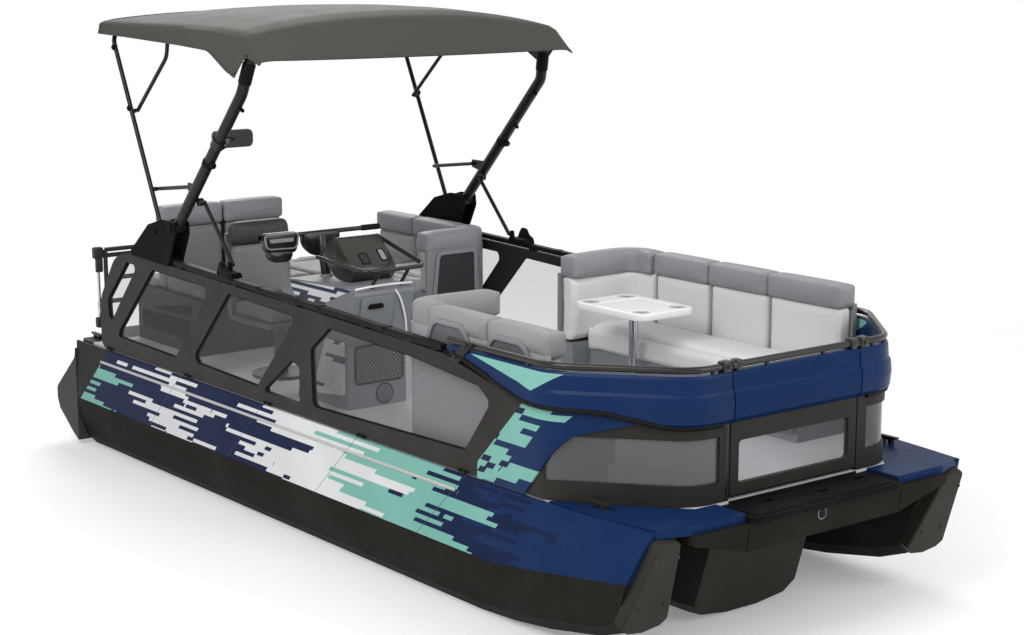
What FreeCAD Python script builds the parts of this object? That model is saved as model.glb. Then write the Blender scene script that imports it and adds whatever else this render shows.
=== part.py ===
import FreeCAD, Part
import math
import os
from types import SimpleNamespace

from FreeCAD import Placement, Rotation, Vector

# Triple-hull pontoon boat, 6.45 m long, standing on its three keels.
# +X points to the bow, +Y to port, +Z up; the origin is under the middle of the hull.

# Driving dimensions, in millimetres and degrees. Every piece is worked out from these cells.
SIZES = {
    # whole boat
    "loa": 6450, "beam": 2440, "deck_under": 733, "deck_thick": 45, "clearance": 0.3,
    "overrun": 60, "running_gap": 6,
    # hulls
    "hull_width": 340, "chine_height": 356, "chine_bow_rise": 176, "side_panel_top": 768,
    "side_lip": 16, "side_lean": 15, "nose_slim": 84, "nose_reach": 3166, "nose_thick": 62,
    "nose_rake": 22.4, "nose_low": 290, "nose_chin": 60, "nose_corner": 40, "cap_start": 2900,
    "cap_waist": 120, "cap_edge": 45, "center_width": 780, "center_reach": 2830,
    "center_rake": 17, "center_chine": 90, "center_stern": 2980,
    # decks and beams
    "deck_side": 18, "platform_start": 2700, "platform_end": 3090,
    "beam_height": 95, "beam_width": 70, "beam_pitch": 1035, "bow_deck_start": 2951,
    "bow_deck_half": 560, "bow_deck_rise": 29, "bow_deck_thick": 29, "bow_deck_corner": 60,
    "fascia_height": 150, "fascia_ends": 50, "fascia_lean": 60,
    "bow_corner_rise": 43, "bow_corner_front": 3165,
    # side fences
    "fence_thick": 35, "fence_top": 1497, "fence_rear": 2530,
    "fence_front": 1815, "fence_corner": 60, "window_corner": 45, "window_thick": 6,
    "rail_width": 44, "rail_height": 32, "rail_gap": 12, "rail_rear": 1450, "rail_front": 1500,
    "rail_post": 44,
    # bow wall
    "bow_front": 2935, "bow_bend_start": 2390,
    "bow_bend": 240, "bow_wall": 30, "bow_wall_start": 2222,
    "bow_window_low": 885, "bow_window_high": 1118, "bow_window_start": 2360,
    "bow_window_end": 540, "quarter_thick": 12, "quarter_reach": 2760,
    "moulding_low": 1178, "moulding_top": 1442, "moulding_bulge": 46, "moulding_back": 24,
    "moulding_start": 1545, "moulding_tip": 1428, "blade_end": 2215, "blade_low": 1262,
    "side_low_end": 2620, "side_low": 1249, "front_low_start": 2885,
    "rail_tube": 36, "rail_line": 1470, "rail_clamp": 52,
    "rail_stud": 12,
    # bow gate
    "gate_half": 462, "gate_gap": 9, "bow_bend_end": 700, "gate_low": 800, "gate_wall": 30, "gate_bar": 58,
    "gate_head": 98, "post_width": 30, "hinge_radius": 11,
    "hinge_height": 80, "hinge_back": 37, "hinge_low": 850, "hinge_high": 1050,
    # bimini
    "hoop_lean": 40, "main_tube": 72, "rear_tube": 30,
    "brace_tube": 26, "main_pivot_x": 1430, "main_pivot_z": 1735, "main_bend_x": 570,
    "main_top_x": 478, "main_crown": 45,
    "rear_pivot_x": 1640, "rear_pivot_z": 1690, "rear_top_x": 2262,
    "rear_crown": 70, "mid_bend_x": 1580,
    "mid_top_x": 1545, "mid_crown": 80,
    "hoop_bend": 110, "lug_radius": 26, "front_lug_reach": 50.3, "rear_lug_ahead": 16.8,
    "mid_lug_ahead": 5.3, "bracket_behind": 118.2, "hub_radius": 40,
    "front_brace_top_z": 1925, "front_brace_low_x": 835,
    "front_brace_low_z": 1556, "rear_brace_z": 1955,
    "rear_brace_end_z": 2012, "bracket_thick": 10,
    "gusset_gap": 84, "gusset_thick": 12, "gusset_base": 1475, "gusset_floor": 40,
    "foot_length": 60, "foot_saddle": 150, "foot_plate": 12, "foot_rise": 75,
    "canopy_rear": 2372, "canopy_front": 290,
    "canopy_crown": 3150, "canopy_drop": 300, "canopy_thick": 12, "canopy_strip": 400,
    "mirror_width": 280, "mirror_height": 112, "mirror_thick": 36, "mirror_x": 1060,
    "mirror_arm": 22, "clamp_length": 60,
    "clamp_wall": 8,
    # furniture
    "shell_wall": 30, "back_depth": 120, "head_depth": 145,
    "head_height": 115, "toe_rise": 80, "toe_depth": 50, "cushion_thick": 105,
    "seat_corner": 150, "cushion_corner": 35,
    "bow_seat_level": 1200, "bow_lounge_top": 1638, "bow_lounge_aft": 480,
    "bow_lounge_end": 2360, "bow_lounge_return": 450, "bow_lounge_inner": 595,
    "bow_seat_top": 1602, "bow_seat_aft": 1000, "bow_seat_end": 2280,
    "bow_seat_return": 500, "bow_seat_inner": 640, "stern_level": 1270,
    "aft_lounge_top": 1582, "aft_lounge_fore": 1050, "aft_lounge_return": 550,
    "aft_lounge_inner": 600, "stern_back_top": 1755, "stern_back": 2290, "stern_back_end": 170,
    "stern_front": 1740, "stern_aft": 2680, "sunpad_thick": 60,
    "locker_depth": 640, "locker_bend": 40,
    "table_x": 1160, "table_y": 480, "table_length": 620, "table_width": 450,
    "table_top": 1420, "table_thick": 42, "table_corner": 70, "table_post": 28,
    "table_foot": 95, "table_plate": 14,
    # helm
    "console_width": 420, "console_top": 1535, "console_bend": 28, "boss_radius": 42,
    "hood_width": 310, "hood_top": 1800, "hood_bend": 34, "guard_tube": 26,
    "guard_bend": 55, "guard_foot": 11,
    "guard_front": 300, "guard_level": 1635, "guard_run": 520, "guard_rise": 28, "guard_climb": 125,
    "guard_seat": 4,
    "steer_x": 400, "steer_z": 1516, "bar_x": 455, "bar_z": 1775,
    "bar_half": 440, "bar_tube": 28, "grip_tube": 36, "grip_length": 150, "stem_radius": 30,
    "pad_length": 290, "pad_height": 150, "pad_depth": 120, "pod_length": 260,
    "pod_depth": 100, "pod_low": 1610,
    "helm_x": 975, "helm_post": 45, "helm_foot": 190, "helm_plate": 20,
    "helm_low": 1130, "helm_width": 440, "helm_pan": 35, "helm_cushion": 90,
    "helm_front": 735, "helm_rear": 1262, "helm_top": 1780, "helm_shell_top": 1690,
    "helm_recline": 47, "helm_shell": 28, "helm_back": 105,
    # stern fittings
    "ladder_x": 3115, "ladder_z": 810, "ladder_width": 300,
    "ladder_tube": 32, "ladder_height": 550, "ladder_tread": 60, "ladder_step": 25,
    "ladder_pitch": 170, "ladder_lug": 22, "jet_radius": 125, "jet_length": 260,
    "jet_z": 250, "jet_outlet": 62, "jet_tail": 70, "arm_width": 40, "arm_thick": 14,
    "nozzle_radius": 92, "nozzle_length": 150, "nozzle_wall": 14, "nozzle_x": 3040,
    "nozzle_front": 3030, "cleat_length": 150, "cleat_height": 42, "cleat_width": 26,
    "cleat_x": 2655, "stern_cleat_x": 2800,
}

# Places along the boat stretch with its length; the number above is the one at this length.
BUILT_LENGTH = 6450
BUILT_BEAM = 2440
ALONG = (
    "nose_reach", "cap_start", "center_reach", "center_stern", "platform_start", "platform_end",
    "beam_pitch", "bow_deck_start", "bow_corner_front", "fence_rear", "fence_front", "rail_rear",
    "rail_front", "bow_front", "bow_bend_start", "bow_wall_start", "bow_window_start",
    "quarter_reach", "moulding_start", "blade_end", "side_low_end", "front_low_start",
    "main_pivot_x", "main_bend_x", "main_top_x", "rear_pivot_x", "rear_top_x", "mid_bend_x",
    "mid_top_x", "front_brace_low_x", "gusset_base", "canopy_rear", "canopy_front", "mirror_x",
    "bow_lounge_aft", "bow_lounge_end", "bow_seat_aft", "bow_seat_end", "aft_lounge_fore",
    "stern_back", "stern_front", "stern_aft", "table_x", "guard_front", "guard_run", "steer_x",
    "bar_x", "helm_x", "helm_front", "helm_rear", "ladder_x", "nozzle_x", "nozzle_front",
    "cleat_x", "stern_cleat_x")

# Places across the boat keep their distance from its side, and the sun top hangs from its crown.
FROM_SIDE = {
    "fence_side": 65, "bow_side": 50, "fascia_half": 295, "bimini_side": 60,
    "brace_side": 122, "mid_side": 102, "canopy_side": 20, "mirror_y": 280, "seat_outer": 115,
    "stern_end": 400, "console_outer": 320, "hood_outer": 435, "guard_outer": 355,
    "guard_inner": 790, "steer_y": 530, "helm_y": 540, "ladder_y": 520, "cleat_side": 160,
    "stern_cleat_side": 130,
}
FROM_CROWN = {
    "main_bend_z": 510, "main_top_z": 215, "rear_top_z": 180, "mid_bend_z": 328,
    "mid_top_z": 150, "canopy_edge": 115, "mirror_z": 825,
}

doc = FreeCAD.newDocument("pontoon_boat")
sheet = doc.addObject("Spreadsheet::Sheet", "Sizes")
cells = dict(SIZES)
cells.update({name: f"={SIZES[name]} * loa / {BUILT_LENGTH}" for name in ALONG})
cells["bow_bend_end"] = f"={SIZES['bow_bend_end']} * beam / {BUILT_BEAM}"
cells.update({name: f"=beam / 2 - {inset}" for name, inset in FROM_SIDE.items()})
cells.update({name: f"=canopy_crown - {drop}" for name, drop in FROM_CROWN.items()})
for row, (alias, value) in enumerate(cells.items(), start=1):
    sheet.set(f"A{row}", alias)
    sheet.set(f"B{row}", str(value))
    sheet.setAlias(f"B{row}", alias)
doc.recompute()
S = SimpleNamespace(**{alias: float(sheet.get(alias)) for alias in cells})

# Heights and reaches that follow from the cells.
CHINE_BEND_SHARE = 0.62
MID_JOINT_SHARE = 0.5953125
HALF = S.loa / 2
SIDE = S.beam / 2
FLOOR = S.deck_under + S.deck_thick
MID_JOINT_Z = S.rear_pivot_z + MID_JOINT_SHARE * (S.rear_top_z - S.rear_pivot_z)
FENCE_LOW = FLOOR + S.clearance
GATE_TOP = S.moulding_low - S.clearance
FENCE_HEIGHT = S.fence_top - FENCE_LOW
FENCE_LENGTH = S.fence_rear + S.fence_front
SHARED_RUN_SHARE = 0.48
WHOLE_RUN_SHARE = 0.96
FLOOR_AT = "Sizes.deck_under + Sizes.deck_thick + Sizes.clearance"
UNDER_DECK_AT = "Sizes.deck_under + Sizes.clearance"

pieces = {}


def keep(label, piece):
    """Give a finished piece the label that names its node."""
    piece.Label = label
    pieces[label] = piece
    return piece


def corner_arc(before, corner, after, radius, limits):
    """Start, middle and end of the arc that rounds one corner, or None for a sharp one."""
    first = before - corner
    second = after - corner
    turn = math.pi - first.getAngle(second)
    if radius <= 0 or turn < 1e-6:
        return None
    reach = min(radius * math.tan(turn / 2), limits[0] * first.Length, limits[1] * second.Length)
    true_radius = reach / math.tan(turn / 2)
    first.normalize()
    second.normalize()
    bisector = (first + second).normalize()
    center = corner + bisector * (true_radius / math.cos(turn / 2))
    return corner + first * reach, center - bisector * true_radius, corner + second * reach


def rounded(points, radii=0, closed=True):
    """Lines and tangent arcs through the given corners."""
    points = [Vector(*p) for p in points]
    count = len(points)
    radii = list(radii) if isinstance(radii, (list, tuple)) else [radii] * count
    if not closed:
        radii[0] = radii[-1] = 0
    runs = []
    for i, point in enumerate(points):
        after = (i + 1) % count
        limits = [SHARED_RUN_SHARE if radii[j] else WHOLE_RUN_SHARE for j in (i - 1, after)]
        arc = corner_arc(points[i - 1], point, points[after], radii[i], limits) if radii[i] else None
        runs.append(arc or (point, None, point))
    edges = []
    for i, (_, _, leave) in enumerate(runs):
        if runs[i][1] is not None:
            edges.append(Part.Arc(*runs[i]))
        if i + 1 < count or closed:
            arrive = runs[(i + 1) % count][0]
            if (arrive - leave).Length > 1e-6:
                edges.append(Part.LineSegment(leave, arrive))
    return edges


def circle(x, y, radius):
    return [Part.Circle(Vector(x, y), Vector(0, 0, 1), radius)]


def beside(points, distance):
    """The plan path moved to its right by a distance, its corners mitred."""
    path = [Vector(*p) for p in points]
    sides = []
    for a, b in zip(path, path[1:]):
        along = (b - a).normalize()
        sides.append(Vector(along.y, -along.x))
    moved = [path[0] + sides[0] * distance]
    for i in range(1, len(path) - 1):
        bisector = (sides[i - 1] + sides[i]).normalize()
        moved.append(path[i] + bisector * (distance / bisector.dot(sides[i])))
    moved.append(path[-1] + sides[-1] * distance)
    return [(p.x, p.y) for p in moved]


def strip(points, outer, inner, radius):
    """Closed plan outline between two parallels of a path, its bends rounded alike."""
    count = len(points)
    outside = beside(points, outer)
    inside = beside(points, inner)
    bends = [0] + [radius + outer] * (count - 2) + [0]
    returns = [0] + [radius + inner] * (count - 2) + [0]
    return rounded(outside + inside[::-1], bends + returns)


def new_body(name):
    return doc.addObject("PartDesign::Body", name)


def origin_plane(body, role):
    return next(f for f in body.Origin.OriginFeatures if f.Role == role)


def sketch(body, role, start, loops):
    """A sketch parallel to one of the body's origin planes, moved along its normal."""
    outline = body.newObject("Sketcher::SketchObject", body.Name + "_sketch")
    outline.AttachmentSupport = (origin_plane(body, role), [""])
    outline.MapMode = "FlatFace"
    outline.setExpression("AttachmentOffset.Base.z", start)
    for loop in loops:
        for edge in loop:
            outline.addGeometry(edge, False)
    return outline


def pad(body, role, start, length, loops):
    """Add a prism: the outline starts at one height and grows by a length."""
    outline = sketch(body, role, start, loops)
    feature = body.newObject("PartDesign::Pad", body.Name + "_pad")
    feature.Profile = outline
    feature.setExpression("Length", length)
    doc.recompute()
    return feature


def pocket(body, role, start, depth, loops):
    """Cut a prism against the plane's normal, and make sure that it takes material away."""
    before = body.Shape.Volume
    outline = sketch(body, role, start, loops)
    feature = body.newObject("PartDesign::Pocket", body.Name + "_pocket")
    feature.Profile = outline
    feature.setExpression("Length", depth)
    doc.recompute()
    if body.Shape.Volume >= before:
        print("pocket took nothing away:", body.Name)
    return feature


def prism(name, role, start, length, loops):
    body = new_body(name)
    pad(body, role, start, length, loops)
    return body


def soften(body, radius, picker):
    """Round the edges of a body's tip that a test picks."""
    tip = body.Tip
    names = [f"Edge{i + 1}" for i, edge in enumerate(tip.Shape.Edges) if picker(edge)]
    feature = body.newObject("PartDesign::Fillet", body.Name + "_fillet")
    feature.Base = (tip, names)
    feature.setExpression("Radius", radius)
    doc.recompute()
    return feature


def mirrored(source):
    """The port twin of a starboard piece."""
    twin = doc.addObject("Part::Mirroring", source.Name + "_twin")
    twin.Source = source
    twin.Normal = Vector(0, 1, 0)
    doc.recompute()
    return twin


def group(label, links):
    """Like pieces that don't touch, kept as one node."""
    bundle = doc.addObject("Part::Compound", label)
    bundle.Links = links
    return keep(label, bundle)


def fused(name, shapes):
    union = doc.addObject("Part::MultiFuse", name)
    union.Shapes = shapes
    doc.recompute()
    return union


def both_sides(label, source, together=True):
    """Keep a starboard piece and its port twin, in one node or in two."""
    twin = mirrored(source)
    if together:
        return group(label, [source, twin])
    keep(label + "_starboard", source)
    return keep(label + "_port", twin)


def tube(name, points, bend, radius):
    """A round tube swept along straight runs and arcs."""
    edges = [edge.toShape() for edge in rounded(points, bend, closed=False)]
    path = doc.addObject("Part::Feature", name + "_path")
    path.Shape = Part.Wire(edges)
    ring = doc.addObject("Part::Circle", name + "_ring")
    ring.setExpression("Radius", radius)
    first = Vector(*points[0])
    along = Vector(*points[1]) - first
    ring.Placement = Placement(first, Rotation(Vector(0, 0, 1), along))
    sweep = doc.addObject("Part::Sweep", name)
    sweep.Sections = [ring]
    sweep.Spine = (path, [f"Edge{i + 1}" for i in range(len(edges))])
    sweep.Solid = True
    sweep.Frenet = True
    doc.recompute()
    return sweep


def rod(name, start, end, radius):
    """A straight round bar between two points."""
    bar = doc.addObject("Part::Cylinder", name)
    bar.setExpression("Radius", radius)
    along = Vector(*end) - Vector(*start)
    bar.Height = along.Length
    bar.Placement = Placement(Vector(*start), Rotation(Vector(0, 0, 1), along))
    return bar


def block(name, low, high):
    """A plain rectangular block between two corners."""
    box = doc.addObject("Part::Box", name)
    box.Length, box.Width, box.Height = (b - a for a, b in zip(low, high))
    box.Placement = Placement(Vector(*low), Rotation())
    return box


def loft(name, stations, section):
    """A straight-sided loft along X through outlines worked out from each station."""
    body = new_body(name)
    sections = []
    for station in stations:
        loops = [rounded(section(*station[1:]))]
        sections.append(sketch(body, "YZ_Plane", f"Sizes.loa / 2 * {station[0]}", loops))
    feature = body.newObject("PartDesign::AdditiveLoft", name + "_loft")
    feature.Profile = sections[0]
    feature.Sections = sections[1:]
    feature.Ruled = True
    doc.recompute()
    return body


# Outer hulls: a dark planing bottom, a painted side above the chine, a nose plate, a stern cap
def chine_at(share):
    """Height of the chine, which climbs towards the bow."""
    climb = max(0.0, share - CHINE_BEND_SHARE) / (1 - CHINE_BEND_SHARE)
    return S.chine_height + S.chine_bow_rise * climb


def bottom_section(chine, keel_share, slim):
    """Starboard bottom from the outer chine round the keel to the inner chine."""
    width_shares = ((0, 1), (0.04, 0.62), (0.2, 0.2), (0.4, 0), (0.66, 0), (0.86, 0.2), (0.97, 0.62),
                    (1, 1))
    keel = S.chine_height * keel_share
    outline = []
    for across, up in width_shares:
        inset = slim * S.nose_slim * (0.26 - 0.38 * across)
        outline.append((-(SIDE - S.hull_width * across - inset), keel + (chine - keel) * up))
    return outline


def topside_section(chine, slim):
    """Starboard side panel and hull top, with the lip that covers the deck's edge."""
    top = SIDE - S.side_lean - slim * S.nose_slim
    inner = SIDE - S.hull_width
    low_in = inner + slim * S.nose_slim * 0.12
    top_in = inner + slim * S.nose_slim * 1.15
    return [(-(SIDE - slim * S.nose_slim * 0.26), chine), (-top, S.side_panel_top),
            (-(top - S.side_lip), S.side_panel_top), (-(top - S.side_lip), S.deck_under),
            (-top_in, S.deck_under), (-low_in, chine)]


# share of the half length, share of the keel's rise, share of the bow's narrowing
HULL_STATION_SHARES = ((-S.cap_start / HALF, 0, 0), (0.53, 0, 0), (0.62, 0.05, 0), (0.71, 0.146, 0.08),
                       (0.834, 0.357, 0.35), (0.912, 0.62, 0.72), (0.985, 0.95, 1))


def nose_cutter():
    """Side view of what lies in front of the nose plate's raked back face."""
    rake = math.tan(math.radians(S.nose_rake))
    back = S.nose_reach - S.nose_thick / math.cos(math.radians(S.nose_rake))
    top = S.side_panel_top + S.overrun
    x_top = back + (top - S.deck_under) * rake
    x_low = back - (S.deck_under + S.overrun) * rake
    far = HALF + 2 * S.overrun
    return [rounded([(x_top, top), (far, top), (far, -S.overrun), (x_low, -S.overrun)])]


def outer_hulls():
    lower = loft("hull_starboard", [(x, chine_at(x), keel, slim)
                                    for x, keel, slim in HULL_STATION_SHARES], bottom_section)
    upper = loft("topside_starboard", [(x, chine_at(x), slim)
                                       for x, _, slim in HULL_STATION_SHARES], topside_section)
    for hull in (lower, upper):
        pocket(hull, "XZ_Plane", "Sizes.beam / 2 + Sizes.overrun",
               "Sizes.hull_width + 2 * Sizes.overrun", nose_cutter())
    both_sides("hull", lower, together=False)
    both_sides("topside", upper, together=False)


def nose_plates():
    """Raked plates that close the bows of the outer hulls, wider at the chin than at the top."""
    slant = 1 / math.cos(math.radians(S.nose_rake))
    drop = (S.deck_under - S.nose_low) * slant
    top_out = -(SIDE - S.side_lean - S.nose_slim)
    top_in = -(SIDE - S.hull_width + S.nose_slim * 1.15)
    low_out = -(SIDE - S.nose_slim * 0.26)
    low_in = -(SIDE - S.hull_width + S.nose_slim * 0.12)
    outline = [(top_in, 0), (top_out, 0), (low_out, -drop), (low_out * 0.96, -drop - S.nose_chin * 0.7),
               ((low_out + low_in) / 2, -drop - S.nose_chin), (low_in * 1.05, -drop - S.nose_chin * 0.7),
               (low_in, -drop)]
    radii = [S.nose_corner, S.nose_corner] + [0] * (len(outline) - 2)
    plate = prism("nose", "YZ_Plane", "0", "Sizes.nose_thick", [rounded(outline, radii)])
    rake = Rotation(Vector(0, 1, 0), S.nose_rake)
    thick = S.nose_thick * slant
    plate.Placement = Placement(Vector(S.nose_reach - thick + S.clearance, 0, S.deck_under), rake)
    soften(plate, "Sizes.nose_corner / 3",
           lambda e: abs(e.CenterOfMass.x - S.nose_thick) < 1 and e.CenterOfMass.z > -drop)
    both_sides("nose_plates", plate)


# share of the waist's depth or of the hull's height at each corner of a stern cap
CAP_CORNER_SHARES = ((0.1, 0.84), (1.06, 0.82), (0.78, 0.62), (0.6, 0.2), (0.1, 0.1))


def stern_caps():
    """Moulded ends of the outer hulls, waisted under the deck and bulging at the waterline."""
    start = -S.cap_start - S.clearance
    neck, upper, low, foot, sole = CAP_CORNER_SHARES
    outline = [(start, S.side_panel_top), (start - S.cap_waist * neck[0], S.side_panel_top * neck[1]),
               (-HALF, S.chine_height * upper[0]), (-HALF, S.chine_height * upper[1]),
               (-HALF + S.cap_edge * low[0], S.chine_height * low[1]),
               (start - S.cap_waist * foot[0], S.chine_height * foot[1]),
               (start, S.chine_height * sole[1])]
    radii = [S.cap_edge / 2, S.cap_edge * 2, S.cap_edge, S.cap_edge / 2, S.cap_edge, S.cap_edge * 2, 0]
    cap = prism("stern_cap", "XZ_Plane", "Sizes.beam / 2 - Sizes.hull_width", "Sizes.hull_width",
                [rounded(outline, radii)])
    both_sides("stern_caps", cap)


def center_section(keel_share, narrow):
    """Broad centre hull: flat sides down to a low chine and a shallow vee."""
    half = S.center_width / 2 * (1 - narrow)
    keel = S.chine_height * keel_share
    chine = keel + S.center_chine
    profile = [(half, S.deck_under), (half, chine), (half * 0.82, keel + S.center_chine * 0.3),
               (half * 0.3, keel)]
    return profile + [(-y, z) for y, z in reversed(profile)]


def center_hull():
    stations = ((-S.center_stern / HALF, 0, 0), (0.5, 0, 0), (0.78, 0.03, 0.02), (0.9, 0.12, 0.06))
    hull = loft("hull_center", stations, center_section)
    rake = math.tan(math.radians(S.center_rake))
    top = S.deck_under + S.overrun
    far = HALF
    cutter = [(S.center_reach, top), (far, top), (far, -S.overrun),
              (S.center_reach - (top + S.overrun) * rake, -S.overrun)]
    pocket(hull, "XZ_Plane", "Sizes.center_width / 2 + Sizes.overrun",
           "Sizes.center_width + 2 * Sizes.overrun", [rounded(cutter)])
    pocket(hull, "YZ_Plane", "-Sizes.center_stern + Sizes.jet_length", "Sizes.jet_length",
           [circle(0, S.jet_z, S.jet_radius + S.clearance)])
    keep("hull_center", hull)


def bow_plan(side=-1):
    """Plan path of the bow wall: along the side, across the corner, to the gate."""
    return [(S.fence_front, side * S.bow_side), (S.bow_bend_start, side * S.bow_side),
            (S.bow_front, side * S.bow_bend_end), (S.bow_front, side * (S.gate_half + S.gate_gap))]


def decks():
    """Deck, swim platform with the ladder's ears, and the beams that tie the hulls together."""
    edge = -deck_edge()[0][1]
    starboard = [(-S.platform_start, -edge)] + deck_edge()[:2]
    outline = starboard + [(x, -y) for x, y in reversed(starboard)]
    floor = prism("deck", "XY_Plane", UNDER_DECK_AT, "Sizes.deck_thick - Sizes.clearance",
                  [rounded(outline)])
    keep("deck", floor)
    inner = SIDE - S.hull_width - 2 * S.running_gap
    stern = [(-S.platform_start - S.clearance, edge), (-S.cap_start, edge), (-S.cap_start, inner),
             (-S.platform_end, inner)]
    stern += [(x, -y) for x, y in reversed(stern)]
    radii = [0, S.cap_edge, S.cap_edge, S.cap_edge, S.cap_edge, S.cap_edge, S.cap_edge, 0]
    platform = prism("platform_plate", "XY_Plane", UNDER_DECK_AT, "Sizes.deck_thick - Sizes.clearance",
                     [rounded(stern, radii)])
    keep("swim_platform", fused("platform_set", [platform] + ladder_lugs()))
    inner_side = SIDE - S.hull_width - S.clearance
    outer_side = S.center_width / 2 + S.clearance
    beam = prism("cross_beam", "YZ_Plane", "-Sizes.beam_pitch * 2.5", "Sizes.beam_width",
                 [rounded([(-inner_side, S.deck_under - S.beam_height),
                           (-outer_side, S.deck_under - S.beam_height),
                           (-outer_side, S.deck_under), (-inner_side, S.deck_under)])])
    row = beam.newObject("PartDesign::LinearPattern", "cross_beam_row")
    row.Originals = [beam.Tip]
    row.Direction = (origin_axis(beam, "X_Axis"), [""])
    row.setExpression("Length", "Sizes.beam_pitch * 5")
    row.Occurrences = 6
    beam.Tip = row
    doc.recompute()
    both_sides("cross_beams", beam)


def origin_axis(body, role):
    return next(f for f in body.Origin.OriginFeatures if f.Role == role)


def bow_platform():
    """Black step in front of the gate and the dark fascia beam that carries it."""
    top = S.deck_under + S.bow_deck_rise
    half = S.bow_deck_half
    outline = [(S.bow_deck_start, -half), (HALF - S.overrun / 2, -half), (HALF, -half + S.overrun)]
    outline += [(x, -y) for x, y in reversed(outline)]
    bend = S.bow_deck_corner / 2
    step = prism("bow_deck", "XY_Plane",
                 "Sizes.deck_under - Sizes.bow_deck_thick + Sizes.bow_deck_rise",
                 "Sizes.bow_deck_thick", [rounded(outline, [0, bend, bend, bend, bend, 0])])
    keep("bow_deck", step)
    head = top - S.bow_deck_thick - S.clearance
    low = head - S.fascia_height
    front = [(-S.fascia_half, head), (-S.fascia_half, head - S.fascia_ends), (-half, low),
             (half, low), (S.fascia_half, head - S.fascia_ends), (S.fascia_half, head)]
    fascia = prism("bow_beam", "YZ_Plane", "Sizes.bow_deck_start",
                   "Sizes.loa / 2 - Sizes.bow_deck_start", [rounded(front)])
    far = HALF + S.overrun
    lean = [(HALF, head + S.overrun), (far, head + S.overrun), (far, low - S.overrun),
            (HALF - S.fascia_lean, low - S.overrun), (HALF - S.bow_deck_thick, head)]
    pocket(fascia, "XZ_Plane", "Sizes.beam / 2", "Sizes.beam", [rounded(lean)])
    keep("bow_beam", fascia)


def slim_at(x):
    """How far the bow's narrowing has gone at a place along the hull."""
    for (a, _, low), (b, _, high) in zip(HULL_STATION_SHARES, HULL_STATION_SHARES[1:]):
        if x <= b * HALF:
            return low + (high - low) * max(0.0, (x - a * HALF) / ((b - a) * HALF))
    return 1.0


def deck_edge():
    """Plan of the deck's starboard edge round the bow, as far as the bow step."""
    bow = S.bow_front + S.bow_wall / 2
    side = SIDE - S.side_lean - S.side_lip - S.deck_side
    return [(S.bow_bend_start, -side), (bow, -S.bow_bend_end), (bow, -S.bow_deck_half - S.clearance)]


def bow_corners():
    """Glossy shoulders over the outer hulls, between the deck's edge and the hulls' lips."""
    inner = beside(deck_edge(), S.clearance)
    stations = [S.bow_bend_start] + [x * HALF for x, _, _ in HULL_STATION_SHARES[4:-1]]
    inset = S.side_lean + S.side_lip + S.clearance
    edge = [(x, -(SIDE - inset - S.nose_slim * slim_at(x))) for x in stations]
    outline = inner + [(S.bow_corner_front, inner[-1][1]), (S.bow_corner_front, -S.fascia_half),
                       (S.nose_reach - S.nose_thick, -(SIDE - inset - S.nose_slim))] + edge[::-1]
    body = prism("bow_corner", "XY_Plane", UNDER_DECK_AT, "Sizes.bow_corner_rise", [rounded(outline)])
    both_sides("bow_corners", body)


# Side fences with their glass and rails
def on_fence(along, up):
    return (-S.fence_rear + FENCE_LENGTH * along, FENCE_LOW + FENCE_HEIGHT * up)


FENCE_FRONT_SHARES = ((1.087, 0.654), (1.001, 0.124), (0.998, 0))
FENCE_SHARES = ((0.009, 0), (0, 0.052), (0, 0.466), (0.058, 0.935), (0.110, 1),
                (0.928, 0.855)) + FENCE_FRONT_SHARES
FENCE_CORNERS = [S.fence_corner] * 2 + [S.fence_corner * 4] * 3
WINDOW_SHARES = (
    ((0.097, 0.908), (0.133, 0.901), (0.071, 0.503), (0.030, 0.228), (0.027, 0.492)),
    ((0.181, 0.897), (0.066, 0.234), (0.058, 0.152), (0.246, 0.134), (0.359, 0.873)),
    ((0.410, 0.868), (0.294, 0.152), (0.484, 0.123), (0.595, 0.825)),
    ((0.578, 0.448), (0.499, 0.101), (0.597, 0.094), (0.598, 0.401)),
    ((0.675, 0.808), (0.854, 0.771), (1.000, 0.691), (1.026, 0.582), (0.974, 0.168),
     (0.630, 0.108), (0.627, 0.589)))


def side_fences():
    outline = rounded([on_fence(*p) for p in FENCE_SHARES],
                      FENCE_CORNERS + [0] * (len(FENCE_SHARES) - len(FENCE_CORNERS)))
    windows = [rounded([on_fence(*p) for p in shares], S.window_corner) for shares in WINDOW_SHARES]
    windows[3] = rounded([on_fence(*p) for p in WINDOW_SHARES[3]], S.window_corner / 3)
    fence = prism("fence_starboard", "XZ_Plane", "Sizes.fence_side", "Sizes.fence_thick",
                  [outline] + windows)
    both_sides("fence", fence, together=False)
    panes = prism("side_windows", "XZ_Plane",
                  "Sizes.fence_side + Sizes.fence_thick / 2 - Sizes.window_thick / 2",
                  "Sizes.window_thick", [rounded([on_fence(*p) for p in shares], S.window_corner)
                                         for shares in WINDOW_SHARES[:3] + WINDOW_SHARES[4:]])
    keep("side_windows_starboard", panes)
    keep("side_windows_port", mirrored(panes))


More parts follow.
